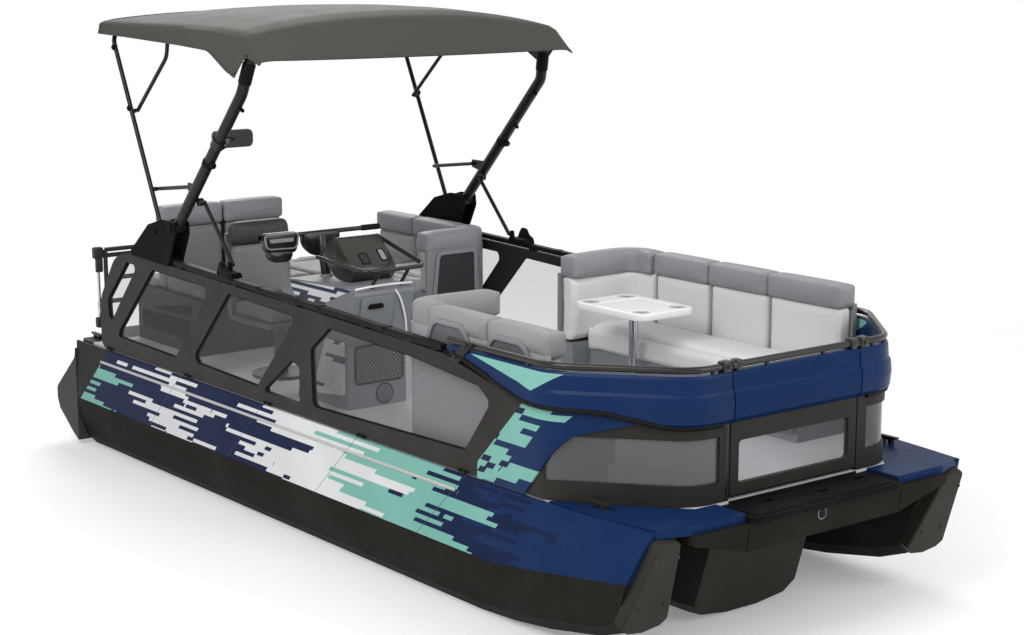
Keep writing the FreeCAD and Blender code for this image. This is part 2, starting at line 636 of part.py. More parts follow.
def side_rails():
    """Flat rails over the fences, standing off on short posts."""
    slope = (FENCE_SHARES[5][1] - FENCE_SHARES[4][1]) / (FENCE_SHARES[5][0] - FENCE_SHARES[4][0])

    def top_at(x):
        along = (x + S.fence_rear) / FENCE_LENGTH
        return on_fence(0, FENCE_SHARES[4][1] + slope * (along - FENCE_SHARES[4][0]))[1]

    rear = -S.rail_rear
    front = S.rail_front
    lift = S.rail_gap
    outline = [(rear, top_at(rear) + lift), (rear, top_at(rear) + lift + S.rail_height),
               (front, top_at(front) + lift + S.rail_height), (front, top_at(front) + lift)]
    start = "Sizes.fence_side + Sizes.fence_thick / 2 - Sizes.rail_width / 2"
    rail = prism("side_rail", "XZ_Plane", start, "Sizes.rail_width",
                 [rounded(outline, [0, S.rail_gap, S.rail_gap, 0])])
    for share in (0.02, 0.26, 0.5, 0.74, 0.97):
        x = rear + (front - rear) * share
        ends = (x, x + S.rail_post)
        post = [(ends[0], top_at(ends[0]) + S.clearance), (ends[0], top_at(ends[0]) + lift + S.clearance),
                (ends[1], top_at(ends[1]) + lift + S.clearance), (ends[1], top_at(ends[1]) + S.clearance)]
        pad(rail, "XZ_Plane", start, "Sizes.rail_width", [rounded(post)])
    both_sides("side_rails", rail)


# Bow wall: frame, glass, quarter panels, moulding and tube rail
def bow_wall():
    path = [(S.bow_wall_start, -S.bow_side)] + bow_plan()[1:]
    half = S.bow_wall / 2
    frame = prism("bow_frame", "XY_Plane", FLOOR_AT,
                  "Sizes.moulding_top - Sizes.deck_under - Sizes.deck_thick",
                  [strip(path, half, -half, S.bow_bend)])
    under_moulding(frame)
    opening = [(S.bow_window_start, -S.bow_side)] + bow_plan()[1:3] + [(S.bow_front, -S.bow_window_end)]
    pocket(frame, "XY_Plane", "Sizes.bow_window_high", "Sizes.bow_window_high - Sizes.bow_window_low",
           [strip(opening, half + S.overrun, -half - S.overrun, S.bow_bend)])
    both_sides("bow_frame", frame, together=False)
    pane = prism("bow_window", "XY_Plane", "Sizes.bow_window_low + Sizes.clearance",
                 "Sizes.bow_window_high - Sizes.bow_window_low - 2 * Sizes.clearance",
                 [strip(shortened(opening), S.window_thick / 2, -S.window_thick / 2, S.bow_bend)])
    both_sides("bow_windows", pane)


def shortened(path):
    """The same path with a clearance at both ends."""
    gap = S.clearance
    return [(path[0][0] + gap, path[0][1])] + path[1:-1] + [(path[-1][0], path[-1][1] - gap)]


def moulding_underline():
    """Side view of the moulding's lower edge: a rising blade aft, then down to the gate."""
    return [(S.moulding_start, S.moulding_tip), (S.blade_end, S.blade_low),
            (S.side_low_end, S.side_low), (S.front_low_start, S.moulding_low)]


def under_moulding(body):
    """Trim a wall piece so that it ends just under the moulding."""
    line = [(x, z - S.clearance) for x, z in moulding_underline()]
    head = S.moulding_top + S.overrun
    outline = line + [(HALF, S.moulding_low - S.clearance), (HALF, head), (line[0][0], head)]
    pocket(body, "XZ_Plane", "Sizes.beam / 2 + Sizes.overrun", "Sizes.beam / 2 + Sizes.overrun",
           [rounded(outline)])


# share of the quarter panel's length and height along its curved front edge
QUARTER_EDGE_SHARES = ((0.42, 0.0), (0.55, 0.31), (0.64, 0.56), (0.72, 0.73), (1.0, 0.9), (1.0, 0.95))


def quarter_panels():
    """Painted panels between the side fence and the bow window, with a pointed tip."""
    half = S.bow_wall / 2 + S.clearance
    start = S.fence_front
    path = [(start, -S.bow_side)] + bow_plan()[1:]
    panel = prism("quarter", "XY_Plane", FLOOR_AT,
                  "Sizes.moulding_top - Sizes.deck_under - Sizes.deck_thick",
                  [strip(path, half + S.quarter_thick, half, S.bow_bend)])
    low = FLOOR - S.overrun
    high = S.moulding_top + S.overrun
    span = S.quarter_reach - start
    rise = S.side_low - FLOOR
    curve = [(start + span * u, FLOOR + rise * v) for u, v in QUARTER_EDGE_SHARES]
    ahead = [(curve[0][0], low)] + curve + [(S.quarter_reach, high), (HALF, high), (HALF, low)]
    pocket(panel, "XZ_Plane", "Sizes.beam / 2 + Sizes.overrun", "Sizes.beam / 2 + Sizes.overrun",
           [rounded(ahead)])
    under_moulding(panel)
    edge = [on_fence(*p) for p in reversed(FENCE_FRONT_SHARES)]
    behind = [(edge[0][0] + S.running_gap, low)] + [(x + S.running_gap, z) for x, z in edge[1:]]
    behind += [(edge[2][0] + S.running_gap, high), (start - S.overrun, high), (start - S.overrun, low)]
    pocket(panel, "XZ_Plane", "Sizes.beam / 2 + Sizes.overrun", "Sizes.beam / 2", [rounded(behind)])
    both_sides("quarter_panels", panel)


# share of the moulding's height and of its bulge round its face
FACE_SHARES = ((0.0, 0.35), (0.1, 0.86), (0.38, 1.0), (0.6, 0.86), (0.66, 0.62), (0.94, 0.5), (1.0, 0.3))


def moulding_profile():
    """Section of the blue moulding: a flat back and a face that bulges and tucks under."""
    rise = S.moulding_top - S.moulding_low
    outline = [(-S.moulding_back, S.moulding_low), (-S.moulding_back, S.moulding_top)]
    outline += [(S.moulding_bulge * out, S.moulding_low + rise * up) for up, out in reversed(FACE_SHARES)]
    return outline


def bow_mouldings():
    """Sweep the moulding round the bow, then shape its pointed aft end and its underside."""
    path = [(S.moulding_start, -S.bow_side)] + bow_plan()[1:]
    body = new_body("bow_moulding")
    spine = sketch(body, "XY_Plane", "0", [rounded(path, S.bow_bend, closed=False)])
    face = [(-(S.bow_side + out), z) for out, z in moulding_profile()]
    section = sketch(body, "YZ_Plane", "Sizes.moulding_start", [rounded(face)])
    doc.recompute()
    sweep = body.newObject("PartDesign::AdditivePipe", "bow_moulding_sweep")
    sweep.Profile = section
    sweep.Spine = (spine, [f"Edge{i + 1}" for i in range(spine.GeometryCount)])
    doc.recompute()
    base = S.moulding_low - S.overrun
    behind = S.moulding_start - S.overrun
    below = moulding_underline() + [(S.front_low_start, base), (behind, base), (behind, S.moulding_top)]
    pocket(body, "XZ_Plane", "Sizes.beam / 2 + Sizes.overrun", "Sizes.beam / 4", [rounded(below)])
    both_sides("bow_mouldings", body)


def bow_rails():
    """Round rails over the moulding, on short studs, ending in a clamp at the gate."""
    side = S.bow_side
    level = S.rail_line
    path = [(S.moulding_start, -side, level), (S.bow_bend_start, -side, level),
            (S.bow_front, -S.bow_bend_end, level), (S.bow_front, -(S.gate_half + S.rail_clamp), level)]
    rail = tube("bow_rail_tube", path, S.bow_bend, "Sizes.rail_tube / 2")
    clamp = rod("bow_rail_clamp", path[-1], (S.bow_front, -(S.gate_half + S.gate_gap), level),
                "Sizes.rail_clamp / 2")
    studs = [rod(f"rail_stud_{i}", (x, -y, S.moulding_top + S.clearance), (x, -y, level), "Sizes.rail_stud")
             for i, (x, y) in enumerate(((S.moulding_start + 2 * S.overrun, side), (S.blade_end, side),
                                         (S.bow_front, (S.bow_bend_end + S.gate_half) / 2)))]
    both_sides("bow_rails", fused("bow_rail", [rail, clamp] + studs))


def gate_posts():
    """Posts beside the gate; the port one carries the outer knuckles of its hinges."""
    inner = S.gate_half + S.gate_gap
    low = FLOOR + S.clearance
    front = S.bow_front - S.moulding_back - S.clearance
    back = front - S.post_width
    starboard = block("gate_post_starboard", (back, -inner - S.post_width, low),
                      (front, -inner, S.moulding_top))
    port = block("gate_post_port", (back, inner, low), (front, inner + S.post_width, S.moulding_top))
    line = hinge_line()
    knuckles = []
    for i, start in enumerate((S.hinge_low, S.hinge_high)):
        for j, base in enumerate((start - S.hinge_height / 2 - S.clearance,
                                  start + S.hinge_height + S.clearance)):
            pin = (line[0], line[1], base)
            end = (line[0], line[1], base + S.hinge_height / 2)
            knuckles.append(rod(f"post_knuckle_{i}{j}", pin, end, "Sizes.hinge_radius"))
            knuckles.append(block(f"post_leaf_{i}{j}", (line[0] - S.hinge_radius / 2, line[1], base),
                                  (line[0] + S.hinge_radius / 2, inner + S.clearance,
                                   base + S.hinge_height / 2)))
    group("gate_posts", [starboard, fused("gate_post_hinged", [port] + knuckles)])


def hinge_line():
    """Plan position of the gate's hinge axis, behind its port edge."""
    return S.bow_front - S.hinge_back, S.gate_half + S.gate_gap - S.hinge_radius - S.clearance


# Gate in the middle of the bow wall, hung on its port post
def gate():
    x = S.bow_front
    half = S.gate_half
    bar = S.gate_bar
    outline = [(-half, S.gate_low), (half, S.gate_low), (half, GATE_TOP), (-half, GATE_TOP)]
    opening = [(-half + bar, S.gate_low + bar), (half - bar, S.gate_low + bar),
               (half - bar, GATE_TOP - S.gate_head), (-half + bar, GATE_TOP - S.gate_head)]
    frame = prism("gate_panel", "YZ_Plane", "Sizes.bow_front - Sizes.gate_wall / 2", "Sizes.gate_wall",
                  [rounded(outline), rounded(opening, S.window_corner / 2)])
    line = hinge_line()
    leaves = []
    for i, start in enumerate((S.hinge_low, S.hinge_high)):
        top = start + S.hinge_height
        leaves.append(rod(f"gate_knuckle_{i}", (*line, start), (*line, top), "Sizes.hinge_radius"))
        leaves.append(block(f"gate_leaf_{i}", (line[0], line[1] - S.hinge_radius / 2, start),
                            (x - S.gate_wall / 2 + S.clearance, line[1], top)))
    keep("gate_frame", fused("gate_hung", [frame] + leaves))
    pane = prism("gate_window", "YZ_Plane", "Sizes.bow_front - Sizes.window_thick / 2",
                 "Sizes.window_thick", [rounded(opening, S.window_corner / 2)])
    keep("gate_window", pane)
    section = [(x + out, z) for out, z in moulding_profile()]
    moulding = prism("gate_moulding", "XZ_Plane", "-Sizes.gate_half", "2 * Sizes.gate_half",
                     [rounded(section)])
    keep("gate_moulding", moulding)
    level = S.rail_line
    rail = rod("gate_rail_tube", (x, -half, level), (x, half, level), "Sizes.rail_tube / 2")
    fittings = []
    for side in (-1, 1):
        inner = side * (half - S.rail_clamp)
        fittings.append(rod("gate_rail_end", (x, side * half, level), (x, inner, level),
                            "Sizes.rail_clamp / 2"))
        fittings.append(rod("gate_rail_stud", (x, inner / 2, S.moulding_top + S.clearance),
                            (x, inner / 2, level), "Sizes.rail_stud"))
    keep("gate_rail", fused("gate_rail_set", [rail] + fittings))


# Folding sun top
def hoop(name, side_points, side, crown, radius, lean=0):
    """A hoop: up the starboard leg, across the crowned top and down the port leg."""
    last = len(side_points) - 1
    legs = [(x, -(side - (lean if i == last else 0)), z) for i, (x, z) in enumerate(side_points)]
    top_x, top_z = side_points[-1]
    top = [(top_x, -side / 2, top_z + crown), (top_x, side / 2, top_z + crown)]
    return tube(name, legs + top + [(x, -y, z) for x, y, z in reversed(legs)], S.hoop_bend, radius)


def side_pair(shape):
    return [shape, mirrored(shape)]


def lug(name, x, z, outer, inner, radius):
    """A short round boss across the boat, on the starboard side."""
    return rod(name, (-x, -outer, z), (-x, -inner, z), radius)


def main_slope_x(z):
    """Where the main hoop's straight leg passes a height."""
    rise = (z - S.main_pivot_z) / (S.main_bend_z - S.main_pivot_z)
    return -S.main_pivot_x + rise * (S.main_pivot_x - S.main_bend_x)


def rear_slope_x(z):
    """Where the rear hoop's straight leg passes a height."""
    rise = (z - S.rear_pivot_z) / (S.rear_top_z - S.rear_pivot_z)
    return -S.rear_pivot_x - rise * (S.rear_top_x - S.rear_pivot_x)


def bimini():
    side = S.bimini_side
    rise = S.main_bend_z - S.main_pivot_z
    leg = math.hypot(rise, S.main_pivot_x - S.main_bend_x)
    front_head = -main_slope_x(S.front_brace_top_z) - S.front_lug_reach * leg / rise
    rear_head = -rear_slope_x(S.rear_brace_z) - S.rear_lug_ahead
    mid_foot = -rear_slope_x(MID_JOINT_Z) - S.mid_lug_ahead
    rear_end = -main_slope_x(S.rear_brace_end_z) + S.bracket_behind
    hub = S.gusset_gap / 2 - S.clearance
    brace_edge = S.brace_side + S.brace_tube / 2 + S.clearance
    inner_edge = S.mid_side + S.brace_tube / 2 + S.clearance
    main = hoop("main_hoop_tube", [(-S.main_pivot_x, S.main_pivot_z), (-S.main_bend_x, S.main_bend_z),
                                   (-S.main_top_x, S.main_top_z)],
                side, S.main_crown, "Sizes.main_tube / 2", S.hoop_lean)
    fittings = side_pair(lug("main_hub", S.main_pivot_x, S.main_pivot_z, side + hub, side - hub,
                             "Sizes.hub_radius"))
    fittings += side_pair(lug("brace_lug", front_head, S.front_brace_top_z, side - S.main_tube / 4,
                              brace_edge, "Sizes.lug_radius"))
    foot_x = main_slope_x(S.rear_brace_end_z)
    bracket = prism("brace_bracket", "XZ_Plane",
                    "Sizes.bimini_side - Sizes.main_tube / 4 - Sizes.bracket_thick",
                    "Sizes.bracket_thick", [rounded([
                        (-rear_end - S.lug_radius, S.rear_brace_end_z - S.lug_radius),
                        (-rear_end - S.lug_radius, S.rear_brace_end_z + S.lug_radius),
                        (foot_x, S.rear_brace_end_z + S.lug_radius),
                        (foot_x - S.lug_radius, S.rear_brace_end_z - 2 * S.lug_radius)])])
    keep("main_hoop", fused("main_hoop_set", [main] + fittings + side_pair(bracket)))
    rear = hoop("rear_hoop_tube", [(-S.rear_pivot_x, S.rear_pivot_z), (-S.rear_top_x, S.rear_top_z)],
                side, S.rear_crown, "Sizes.rear_tube / 2")
    joints = side_pair(lug("rear_hub", S.rear_pivot_x, S.rear_pivot_z, side + hub, side - hub,
                           "Sizes.lug_radius"))
    joints += side_pair(lug("mid_lug", mid_foot, MID_JOINT_Z, side, inner_edge,
                            "Sizes.rear_tube / 2"))
    joints += side_pair(lug("rear_lug", rear_head, S.rear_brace_z, side, inner_edge,
                            "Sizes.rear_tube / 2"))
    keep("rear_hoop", fused("rear_hoop_set", [rear] + joints))
    middle = hoop("middle_hoop", [(-mid_foot, MID_JOINT_Z), (-S.mid_bend_x, S.mid_bend_z),
                                  (-S.mid_top_x,
                                   S.mid_top_z)], S.mid_side, S.mid_crown, "Sizes.brace_tube / 2")
    keep("middle_hoop", middle)
    front = rod("front_brace", (-front_head, -S.brace_side, S.front_brace_top_z),
                (-S.front_brace_low_x, -S.brace_side, S.front_brace_low_z), "Sizes.brace_tube / 2")
    both_sides("front_braces", front)
    rear_brace = rod("rear_brace", (-rear_head, -S.mid_side, S.rear_brace_z),
                     (-rear_end, -S.mid_side, S.rear_brace_end_z), "Sizes.brace_tube / 2")
    both_sides("rear_braces", rear_brace)


def fence_top_at(x):
    """Height of the fence's straight top edge at a place along the boat."""
    (aft, high), (fore, low) = FENCE_SHARES[4], FENCE_SHARES[5]
    along = (x + S.fence_rear) / FENCE_LENGTH
    return on_fence(0, high + (low - high) * (along - aft) / (fore - aft))[1]


# share of half the half length from the main pivot, along and up, at each corner of a gusset
GUSSET_SHARES = ((-0.349, -0.129), (-0.189, -0.004), (-0.07, 0.028), (0.035, 0.028), (0.04, -0.02),
                 (-0.01, -0.12))


def gussets():
    """Forked brackets on the fences that carry the pivots of both folding hoops."""
    x, z = -S.main_pivot_x, S.main_pivot_z
    scale = HALF / 2
    outline = [(x + scale * u, z + scale * v) for u, v in GUSSET_SHARES]
    aft = outline[0][0]
    fore = -S.gusset_base
    outline = [(aft, fence_top_at(aft) + S.clearance)] + outline + [(fore,
                                                                     fence_top_at(fore) + S.clearance)]
    half = S.gusset_gap / 2
    fork = prism("gusset", "XZ_Plane", "Sizes.bimini_side - Sizes.gusset_gap / 2 - Sizes.gusset_thick",
                 "Sizes.gusset_gap + 2 * Sizes.gusset_thick", [rounded(outline, S.lug_radius / 2)])
    base = fence_top_at(aft) + S.gusset_floor
    high = z + 2 * S.overrun
    slot = [(aft - S.overrun, base), (-HALF / 4, base), (-HALF / 4, high), (aft - S.overrun, high)]
    pocket(fork, "XZ_Plane", "Sizes.bimini_side + Sizes.gusset_gap / 2", "Sizes.gusset_gap",
           [rounded(slot)])
    both_sides("gussets", fork)


def brace_feet():
    """Upright lugs on the side rails where the front braces are pinned."""
    half = S.foot_length / 2
    x = -S.front_brace_low_x
    rail_top = [fence_top_at(v) + S.rail_gap + S.rail_height + S.clearance for v in (x - half, x + half)]
    base = S.brace_side + S.brace_tube / 2 + S.running_gap
    rail = S.fence_side + S.fence_thick / 2 + S.rail_width / 2
    fore = x + S.foot_saddle
    fore_top = fence_top_at(fore) + S.rail_gap + S.rail_height + S.clearance
    outline = [(x - half, rail_top[0]), (fore, fore_top), (fore - half, rail_top[1] + 2 * S.foot_plate),
               (x - half, rail_top[0] + 2 * S.foot_plate)]
    foot = prism("brace_foot", "XZ_Plane", str(base), str(rail - base), [rounded(outline)])
    upright = [(x - half, rail_top[0]), (x + half, rail_top[1]), (x + half / 2, rail_top[0] + S.foot_rise),
               (x - half / 2, rail_top[0] + S.foot_rise)]
    pad(foot, "XZ_Plane", str(base), "Sizes.foot_plate", [rounded(upright)])
    both_sides("brace_feet", foot)


# share of the canopy's length from its rear hem, then of its drop: at the crown, the edge and
# the foot of the side valance
CANOPY_SHARES = ((0, 0.2, 0, 0.273), (0.179, 0.05, 0, 0.307), (0.52, 0, 0, 0.393),
                 (0.707, 0.013, 0.013, 0.45), (0.855, 0.067, 0.053, 0.95), (0.923, 0.207, 0.113, 0.367),
                 (1, 1, 0.583, 0.1))
CANOPY_STATIONS = [(-S.canopy_rear + (S.canopy_rear - S.canopy_front) * along,
                    *(S.canopy_drop * share for share in drops)) for along, *drops in CANOPY_SHARES]
SHOULDER_SHARE = 0.6
CROWN_SHARE = 0.2


def canopy_section(crown_drop, edge_drop, valance):
    """A thin crowned sheet with a valance down each side."""
    side = S.canopy_side
    edge = S.canopy_edge - edge_drop
    crown = S.canopy_crown - crown_drop
    lap = S.canopy_thick * 2
    outer = [(-side, edge - valance), (-side, edge - lap), (-side + 2 * lap, edge),
             (-side * SHOULDER_SHARE, (edge + 2 * crown) / 3), (-side * CROWN_SHARE, crown)]
    outer += [(-y, z) for y, z in reversed(outer)]
    thick = S.canopy_thick
    inner = [(y * (side - thick) / side, z - (0 if abs(y) == side and z < edge - lap else thick)) for y,
             z in outer]
    return outer + inner[::-1]


def crown_at(x):
    """Height of the canopy's middle at a place along the boat."""
    for (a, low, *_), (b, high, *_) in zip(CANOPY_STATIONS, CANOPY_STATIONS[1:]):
        if a <= x <= b:
            return S.canopy_crown - low - (high - low) * (x - a) / (b - a)
    return S.canopy_crown


def canopy():
    body = loft("canopy_sheet", [(x / HALF, *drops) for x, *drops in CANOPY_STATIONS], canopy_section)
    low = S.main_top_z + S.main_crown + S.main_tube / 2 + S.clearance
    strap = block("canopy_strap", (-S.main_top_x - S.canopy_thick, -S.canopy_strip / 2, low),
                  (-S.main_top_x + S.canopy_thick, S.canopy_strip / 2,
                   crown_at(-S.main_top_x) - S.canopy_thick / 2))
    keep("canopy", fused("canopy_set", [body, strap]))


def mirror():
    """Rear-view mirror on an arm, clamped to the starboard leg of the main hoop."""
    z = S.mirror_z
    at = Vector(main_slope_x(z), -S.bimini_side, z)
    along = Vector(S.main_pivot_x - S.main_bend_x, 0, S.main_bend_z - S.main_pivot_z).normalize()
    ends = (at - along * S.clamp_length / 2, at + along * S.clamp_length / 2)
    sleeve = rod("mirror_sleeve", *ends, "Sizes.main_tube / 2 + Sizes.clamp_wall")
    arm = rod("mirror_arm", at + Vector(0, S.main_tube / 2, 0), (-S.mirror_x, -S.mirror_y, z),
              "Sizes.mirror_arm / 2")
    solid = fused("mirror_arm_set", [sleeve, arm])
    bore = rod("mirror_bore", at - along * S.clamp_length, at + along * S.clamp_length,
               "Sizes.main_tube / 2 + Sizes.clearance")
    clamp = doc.addObject("Part::Cut", "mirror_clamp")
    clamp.Base = solid
    clamp.Tool = bore
    half = S.mirror_width / 2
    head = prism("mirror_head", "YZ_Plane", "-Sizes.mirror_x - Sizes.mirror_thick", "Sizes.mirror_thick",
                 [rounded([(-S.mirror_y - half, z - S.mirror_height / 2),
                           (-S.mirror_y + half, z - S.mirror_height / 2),
                           (-S.mirror_y + half, z + S.mirror_height / 2), (-S.mirror_y - half,
                                                                           z + S.mirror_height / 2)],
                          S.mirror_thick)])
    keep("mirror", fused("mirror_set", [clamp, head]))


# Seats: a moulded base with its shell, and loose cushions
def plinth(name, outline, radii, level, toe):
    """A seat base from the deck up to the cushions, with a toe space along one side."""
    rise = f"{level} - Sizes.cushion_thick - Sizes.deck_under - Sizes.deck_thick - 2 * Sizes.clearance"
    base = prism(name, "XY_Plane", FLOOR_AT, rise, [rounded(outline, radii)])
    pocket(base, "XY_Plane", "Sizes.deck_under + Sizes.deck_thick + Sizes.toe_rise", "2 * Sizes.toe_rise",
           [rounded(toe)])
    return base


def shell(base, path, level, top):
    """The thin moulded shell behind the back cushions."""
    pad(base, "XY_Plane", f"{level} - Sizes.cushion_thick - Sizes.overrun",
        f"{top} - {level} + Sizes.cushion_thick + Sizes.overrun - Sizes.head_height",
        [strip(path, 0, -S.shell_wall, S.seat_corner)])


def backrest(name, path, level, top):
    """One back cushion with a thicker head roll over the shell."""
    back = prism(name, "XY_Plane", f"{level} - Sizes.cushion_thick",
                 f"{top} - {level} + Sizes.cushion_thick",
                 [strip(path, -S.shell_wall - S.clearance, -S.back_depth, S.seat_corner)])
    pad(back, "XY_Plane", f"{top} - Sizes.head_height + Sizes.clearance",
        "Sizes.head_height - Sizes.clearance", [strip(path, 0, -S.head_depth, S.seat_corner)])
    return back


def seat_pad(name, outline, radii, level):
    return prism(name, "XY_Plane", f"{level} - Sizes.cushion_thick", "Sizes.cushion_thick",
                 [rounded(outline, radii)])


def bow_lounge():
    out, aft, end, inner = S.seat_outer, S.bow_lounge_aft, S.bow_lounge_end, S.bow_lounge_inner
    arm = aft + S.back_depth + S.shell_wall
    path = [(end, out), (aft, out), (aft, S.bow_lounge_return)]
    outline = [(end, out), (aft, out), (aft, S.bow_lounge_return), (arm, S.bow_lounge_return),
               (arm, inner), (end, inner)]
    toe = [(arm + S.overrun, inner - S.overrun), (end + S.overrun, inner - S.overrun),
           (end + S.overrun, inner + S.toe_depth), (arm + S.overrun, inner + S.toe_depth)]
    base = plinth("bow_lounge_base", outline, [0, S.seat_corner, 0, 0, 0, 0], "Sizes.bow_seat_level", toe)
    shell(base, path, "Sizes.bow_seat_level", "Sizes.bow_lounge_top")
    keep("bow_lounge_base", base)
    edge = aft + S.back_depth + S.clearance
    back_y = out - S.back_depth - S.clearance
    seat = [(end, back_y), (edge, back_y), (edge, inner), (end, inner)]
    bend = S.cushion_corner
    pads = [seat_pad("bow_lounge_pad", seat, [0, bend, 0, bend], "Sizes.bow_seat_level"),
            backrest("bow_lounge_back", path, "Sizes.bow_seat_level", "Sizes.bow_lounge_top")]
    group("bow_lounge_cushions", pads)


def bow_seat():
    out, aft, end, inner = S.seat_outer, S.bow_seat_aft, S.bow_seat_end, S.bow_seat_inner
    arm = aft + S.back_depth + S.shell_wall
    path = [(aft, -S.bow_seat_return), (aft, -out), (end, -out)]
    outline = [(aft, -S.bow_seat_return), (aft, -out), (end, -out), (end, -inner), (arm, -inner),
               (arm, -S.bow_seat_return)]
    toe = [(arm + S.overrun, -inner - S.toe_depth), (end + S.overrun, -inner - S.toe_depth),
           (end + S.overrun, -inner + S.overrun), (arm + S.overrun, -inner + S.overrun)]
    base = plinth("bow_seat_base", outline, [0, S.seat_corner, 0, 0, 0, 0], "Sizes.bow_seat_level", toe)
    shell(base, path, "Sizes.bow_seat_level", "Sizes.bow_seat_top")
    keep("bow_seat_base", base)
    edge = aft + S.back_depth + S.clearance
    back_y = -out + S.back_depth + S.clearance
    seat = [(edge, back_y), (end, back_y), (end, -inner), (edge, -inner)]
    bend = S.cushion_corner
    pads = [seat_pad("bow_seat_pad", seat, [bend, 0, bend, 0], "Sizes.bow_seat_level"),
            backrest("bow_seat_back", path, "Sizes.bow_seat_level", "Sizes.bow_seat_top")]
    group("bow_seat_cushions", pads)


def aft_lounge():
    out, fore, inner = S.seat_outer, -S.aft_lounge_fore, S.aft_lounge_inner
    arm = fore - S.back_depth - S.shell_wall
    aft = -S.stern_front + S.clearance
    wall_end = -S.stern_back + S.clearance
    path = [(fore, S.aft_lounge_return), (fore, out), (wall_end, out)]
    outline = [(fore, S.aft_lounge_return), (fore, out), (aft, out), (aft, inner), (arm, inner),
               (arm, S.aft_lounge_return)]
    toe = [(aft - S.overrun, inner - S.overrun), (arm - S.overrun, inner - S.overrun),
           (arm - S.overrun, inner + S.toe_depth), (aft - S.overrun, inner + S.toe_depth)]
    base = plinth("aft_lounge_base", outline, [0, S.seat_corner, 0, 0, 0, 0], "Sizes.stern_level", toe)
    short = [path[0], path[1], (aft, out)]
    shell(base, short, "Sizes.stern_level", "Sizes.aft_lounge_top")
    keep("aft_lounge_base", base)
    edge = fore - S.back_depth - S.clearance
    back_y = out - S.back_depth - S.clearance
    seat = [(edge, inner), (edge, back_y), (aft, back_y), (aft, inner)]
    bend = S.cushion_corner
    pads = [seat_pad("aft_lounge_pad", seat, [bend, bend, 0, 0], "Sizes.stern_level"),
            backrest("aft_lounge_back", path, "Sizes.stern_level", "Sizes.aft_lounge_top")]
    group("aft_lounge_cushions", pads)


def stern_bench():
    """Stern bench with a locker open to starboard, a tall back and a sun pad behind it."""
    out, end, front, aft = S.seat_outer, -S.stern_end, -S.stern_front, -S.stern_aft
    outline = [(aft, end), (front, end), (front, out), (aft, out)]
    toe = [(front - S.toe_depth, end - S.overrun), (front + S.overrun, end - S.overrun),
           (front + S.overrun, S.aft_lounge_inner), (front - S.toe_depth, S.aft_lounge_inner)]
    bend = S.cushion_corner
    base = plinth("stern_bench_base", outline, [0, bend, 0, 0], "Sizes.stern_level", toe)
    low = FLOOR + S.toe_rise
    high = S.stern_level - S.cushion_thick - S.locker_bend
    rake = S.overrun * 3
    mouth = [(aft + S.overrun, low), (front - S.overrun - rake, low), (front - S.overrun * 2, high),
             (aft + S.overrun, high - S.overrun * 2)]
    pocket(base, "XZ_Plane", "Sizes.stern_end", "Sizes.locker_depth", [rounded(mouth, S.locker_bend)])
    keep("stern_bench_base", base)
    back = -S.stern_back
    gap = S.clearance
    seat_rear = back + gap
    back_y = out - S.back_depth - gap
    seat = [(seat_rear, end), (front - gap, end), (front - gap, back_y), (seat_rear, back_y)]
    rest = [(back - S.back_depth, end), (back, end), (back, S.stern_back_end),
            (back - S.back_depth, S.stern_back_end)]
    sun = [(aft, end), (back - S.back_depth - gap, end), (back - S.back_depth - gap, out), (aft, out)]
    bridge = [(back - S.back_depth, S.stern_back_end + gap), (back, S.stern_back_end + gap), (back, out),
              (back - S.back_depth, out)]
    pads = [seat_pad("stern_pad", seat, [0, bend, 0, 0], "Sizes.stern_level"),
            prism("stern_back", "XY_Plane", "Sizes.stern_level - Sizes.cushion_thick",
                  "Sizes.stern_back_top - Sizes.stern_level + Sizes.cushion_thick", [rounded(rest, bend)]),
            prism("sun_pad", "XY_Plane", "Sizes.stern_level - Sizes.cushion_thick", "Sizes.sunpad_thick",
                  [rounded(sun, [bend, 0, 0, bend])]),
            prism("stern_bridge", "XY_Plane", "Sizes.stern_level - Sizes.cushion_thick",
                  "Sizes.cushion_thick", [rounded(bridge)])]
    group("stern_bench_cushions", pads)


def table():
    half_x, half_y = S.table_length / 2, S.table_width / 2
    x, y = S.table_x, S.table_y
    top = prism("table_top", "XY_Plane", "Sizes.table_top - Sizes.table_thick", "Sizes.table_thick",
                [rounded([(x - half_x, y - half_y), (x + half_x, y - half_y), (x + half_x, y + half_y),
                          (x - half_x, y + half_y)], S.table_corner)])
    keep("table_top", top)
    foot = prism("table_post", "XY_Plane", FLOOR_AT, "Sizes.table_plate", [circle(x, y, S.table_foot)])
    pad(foot, "XY_Plane", FLOOR_AT,
        "Sizes.table_top - Sizes.table_thick - Sizes.deck_under - Sizes.deck_thick - 2 * Sizes.clearance",
        [circle(x, y, S.table_post)])
    keep("table_post", foot)


# Helm: console, hood, guard rail, handlebar and swivelling seat
# side view of the console round from its foot: share of the half length, share of its height
CONSOLE_SHARES = ((-0.13, 0), (0.0465, 0), (0.0465, 0.7557), (0.062, 0.7948), (0.076, 0.9772),
                  (0.0496, 1), (-0.1612, 0.9772), (-0.186, 0.9381), (-0.155, 0.8143),
                  (-0.1116, 0.7492), (-0.1116, 0.6189))
# side view of the hood, from the console's top over its peak: the same, of its own height
HOOD_SHARES = ((-0.046, 0), (-0.0915, 0.918), (-0.075, 0.972), (-0.042, 1), (0.0155, 0.9),
               (0.0175, 0.876), (0, 0))


def console_profile():
    """Corners of the console's side view."""
    return [(HALF * u, S.console_top * v) for u, v in CONSOLE_SHARES]


def steering_axis():
    """Foot of the steering column's axis and its upward direction."""
    foot = Vector(-S.steer_x, -S.steer_y, S.steer_z)
    head = Vector(-S.bar_x, -S.steer_y, S.bar_z)
    return foot, (head - foot).normalize()


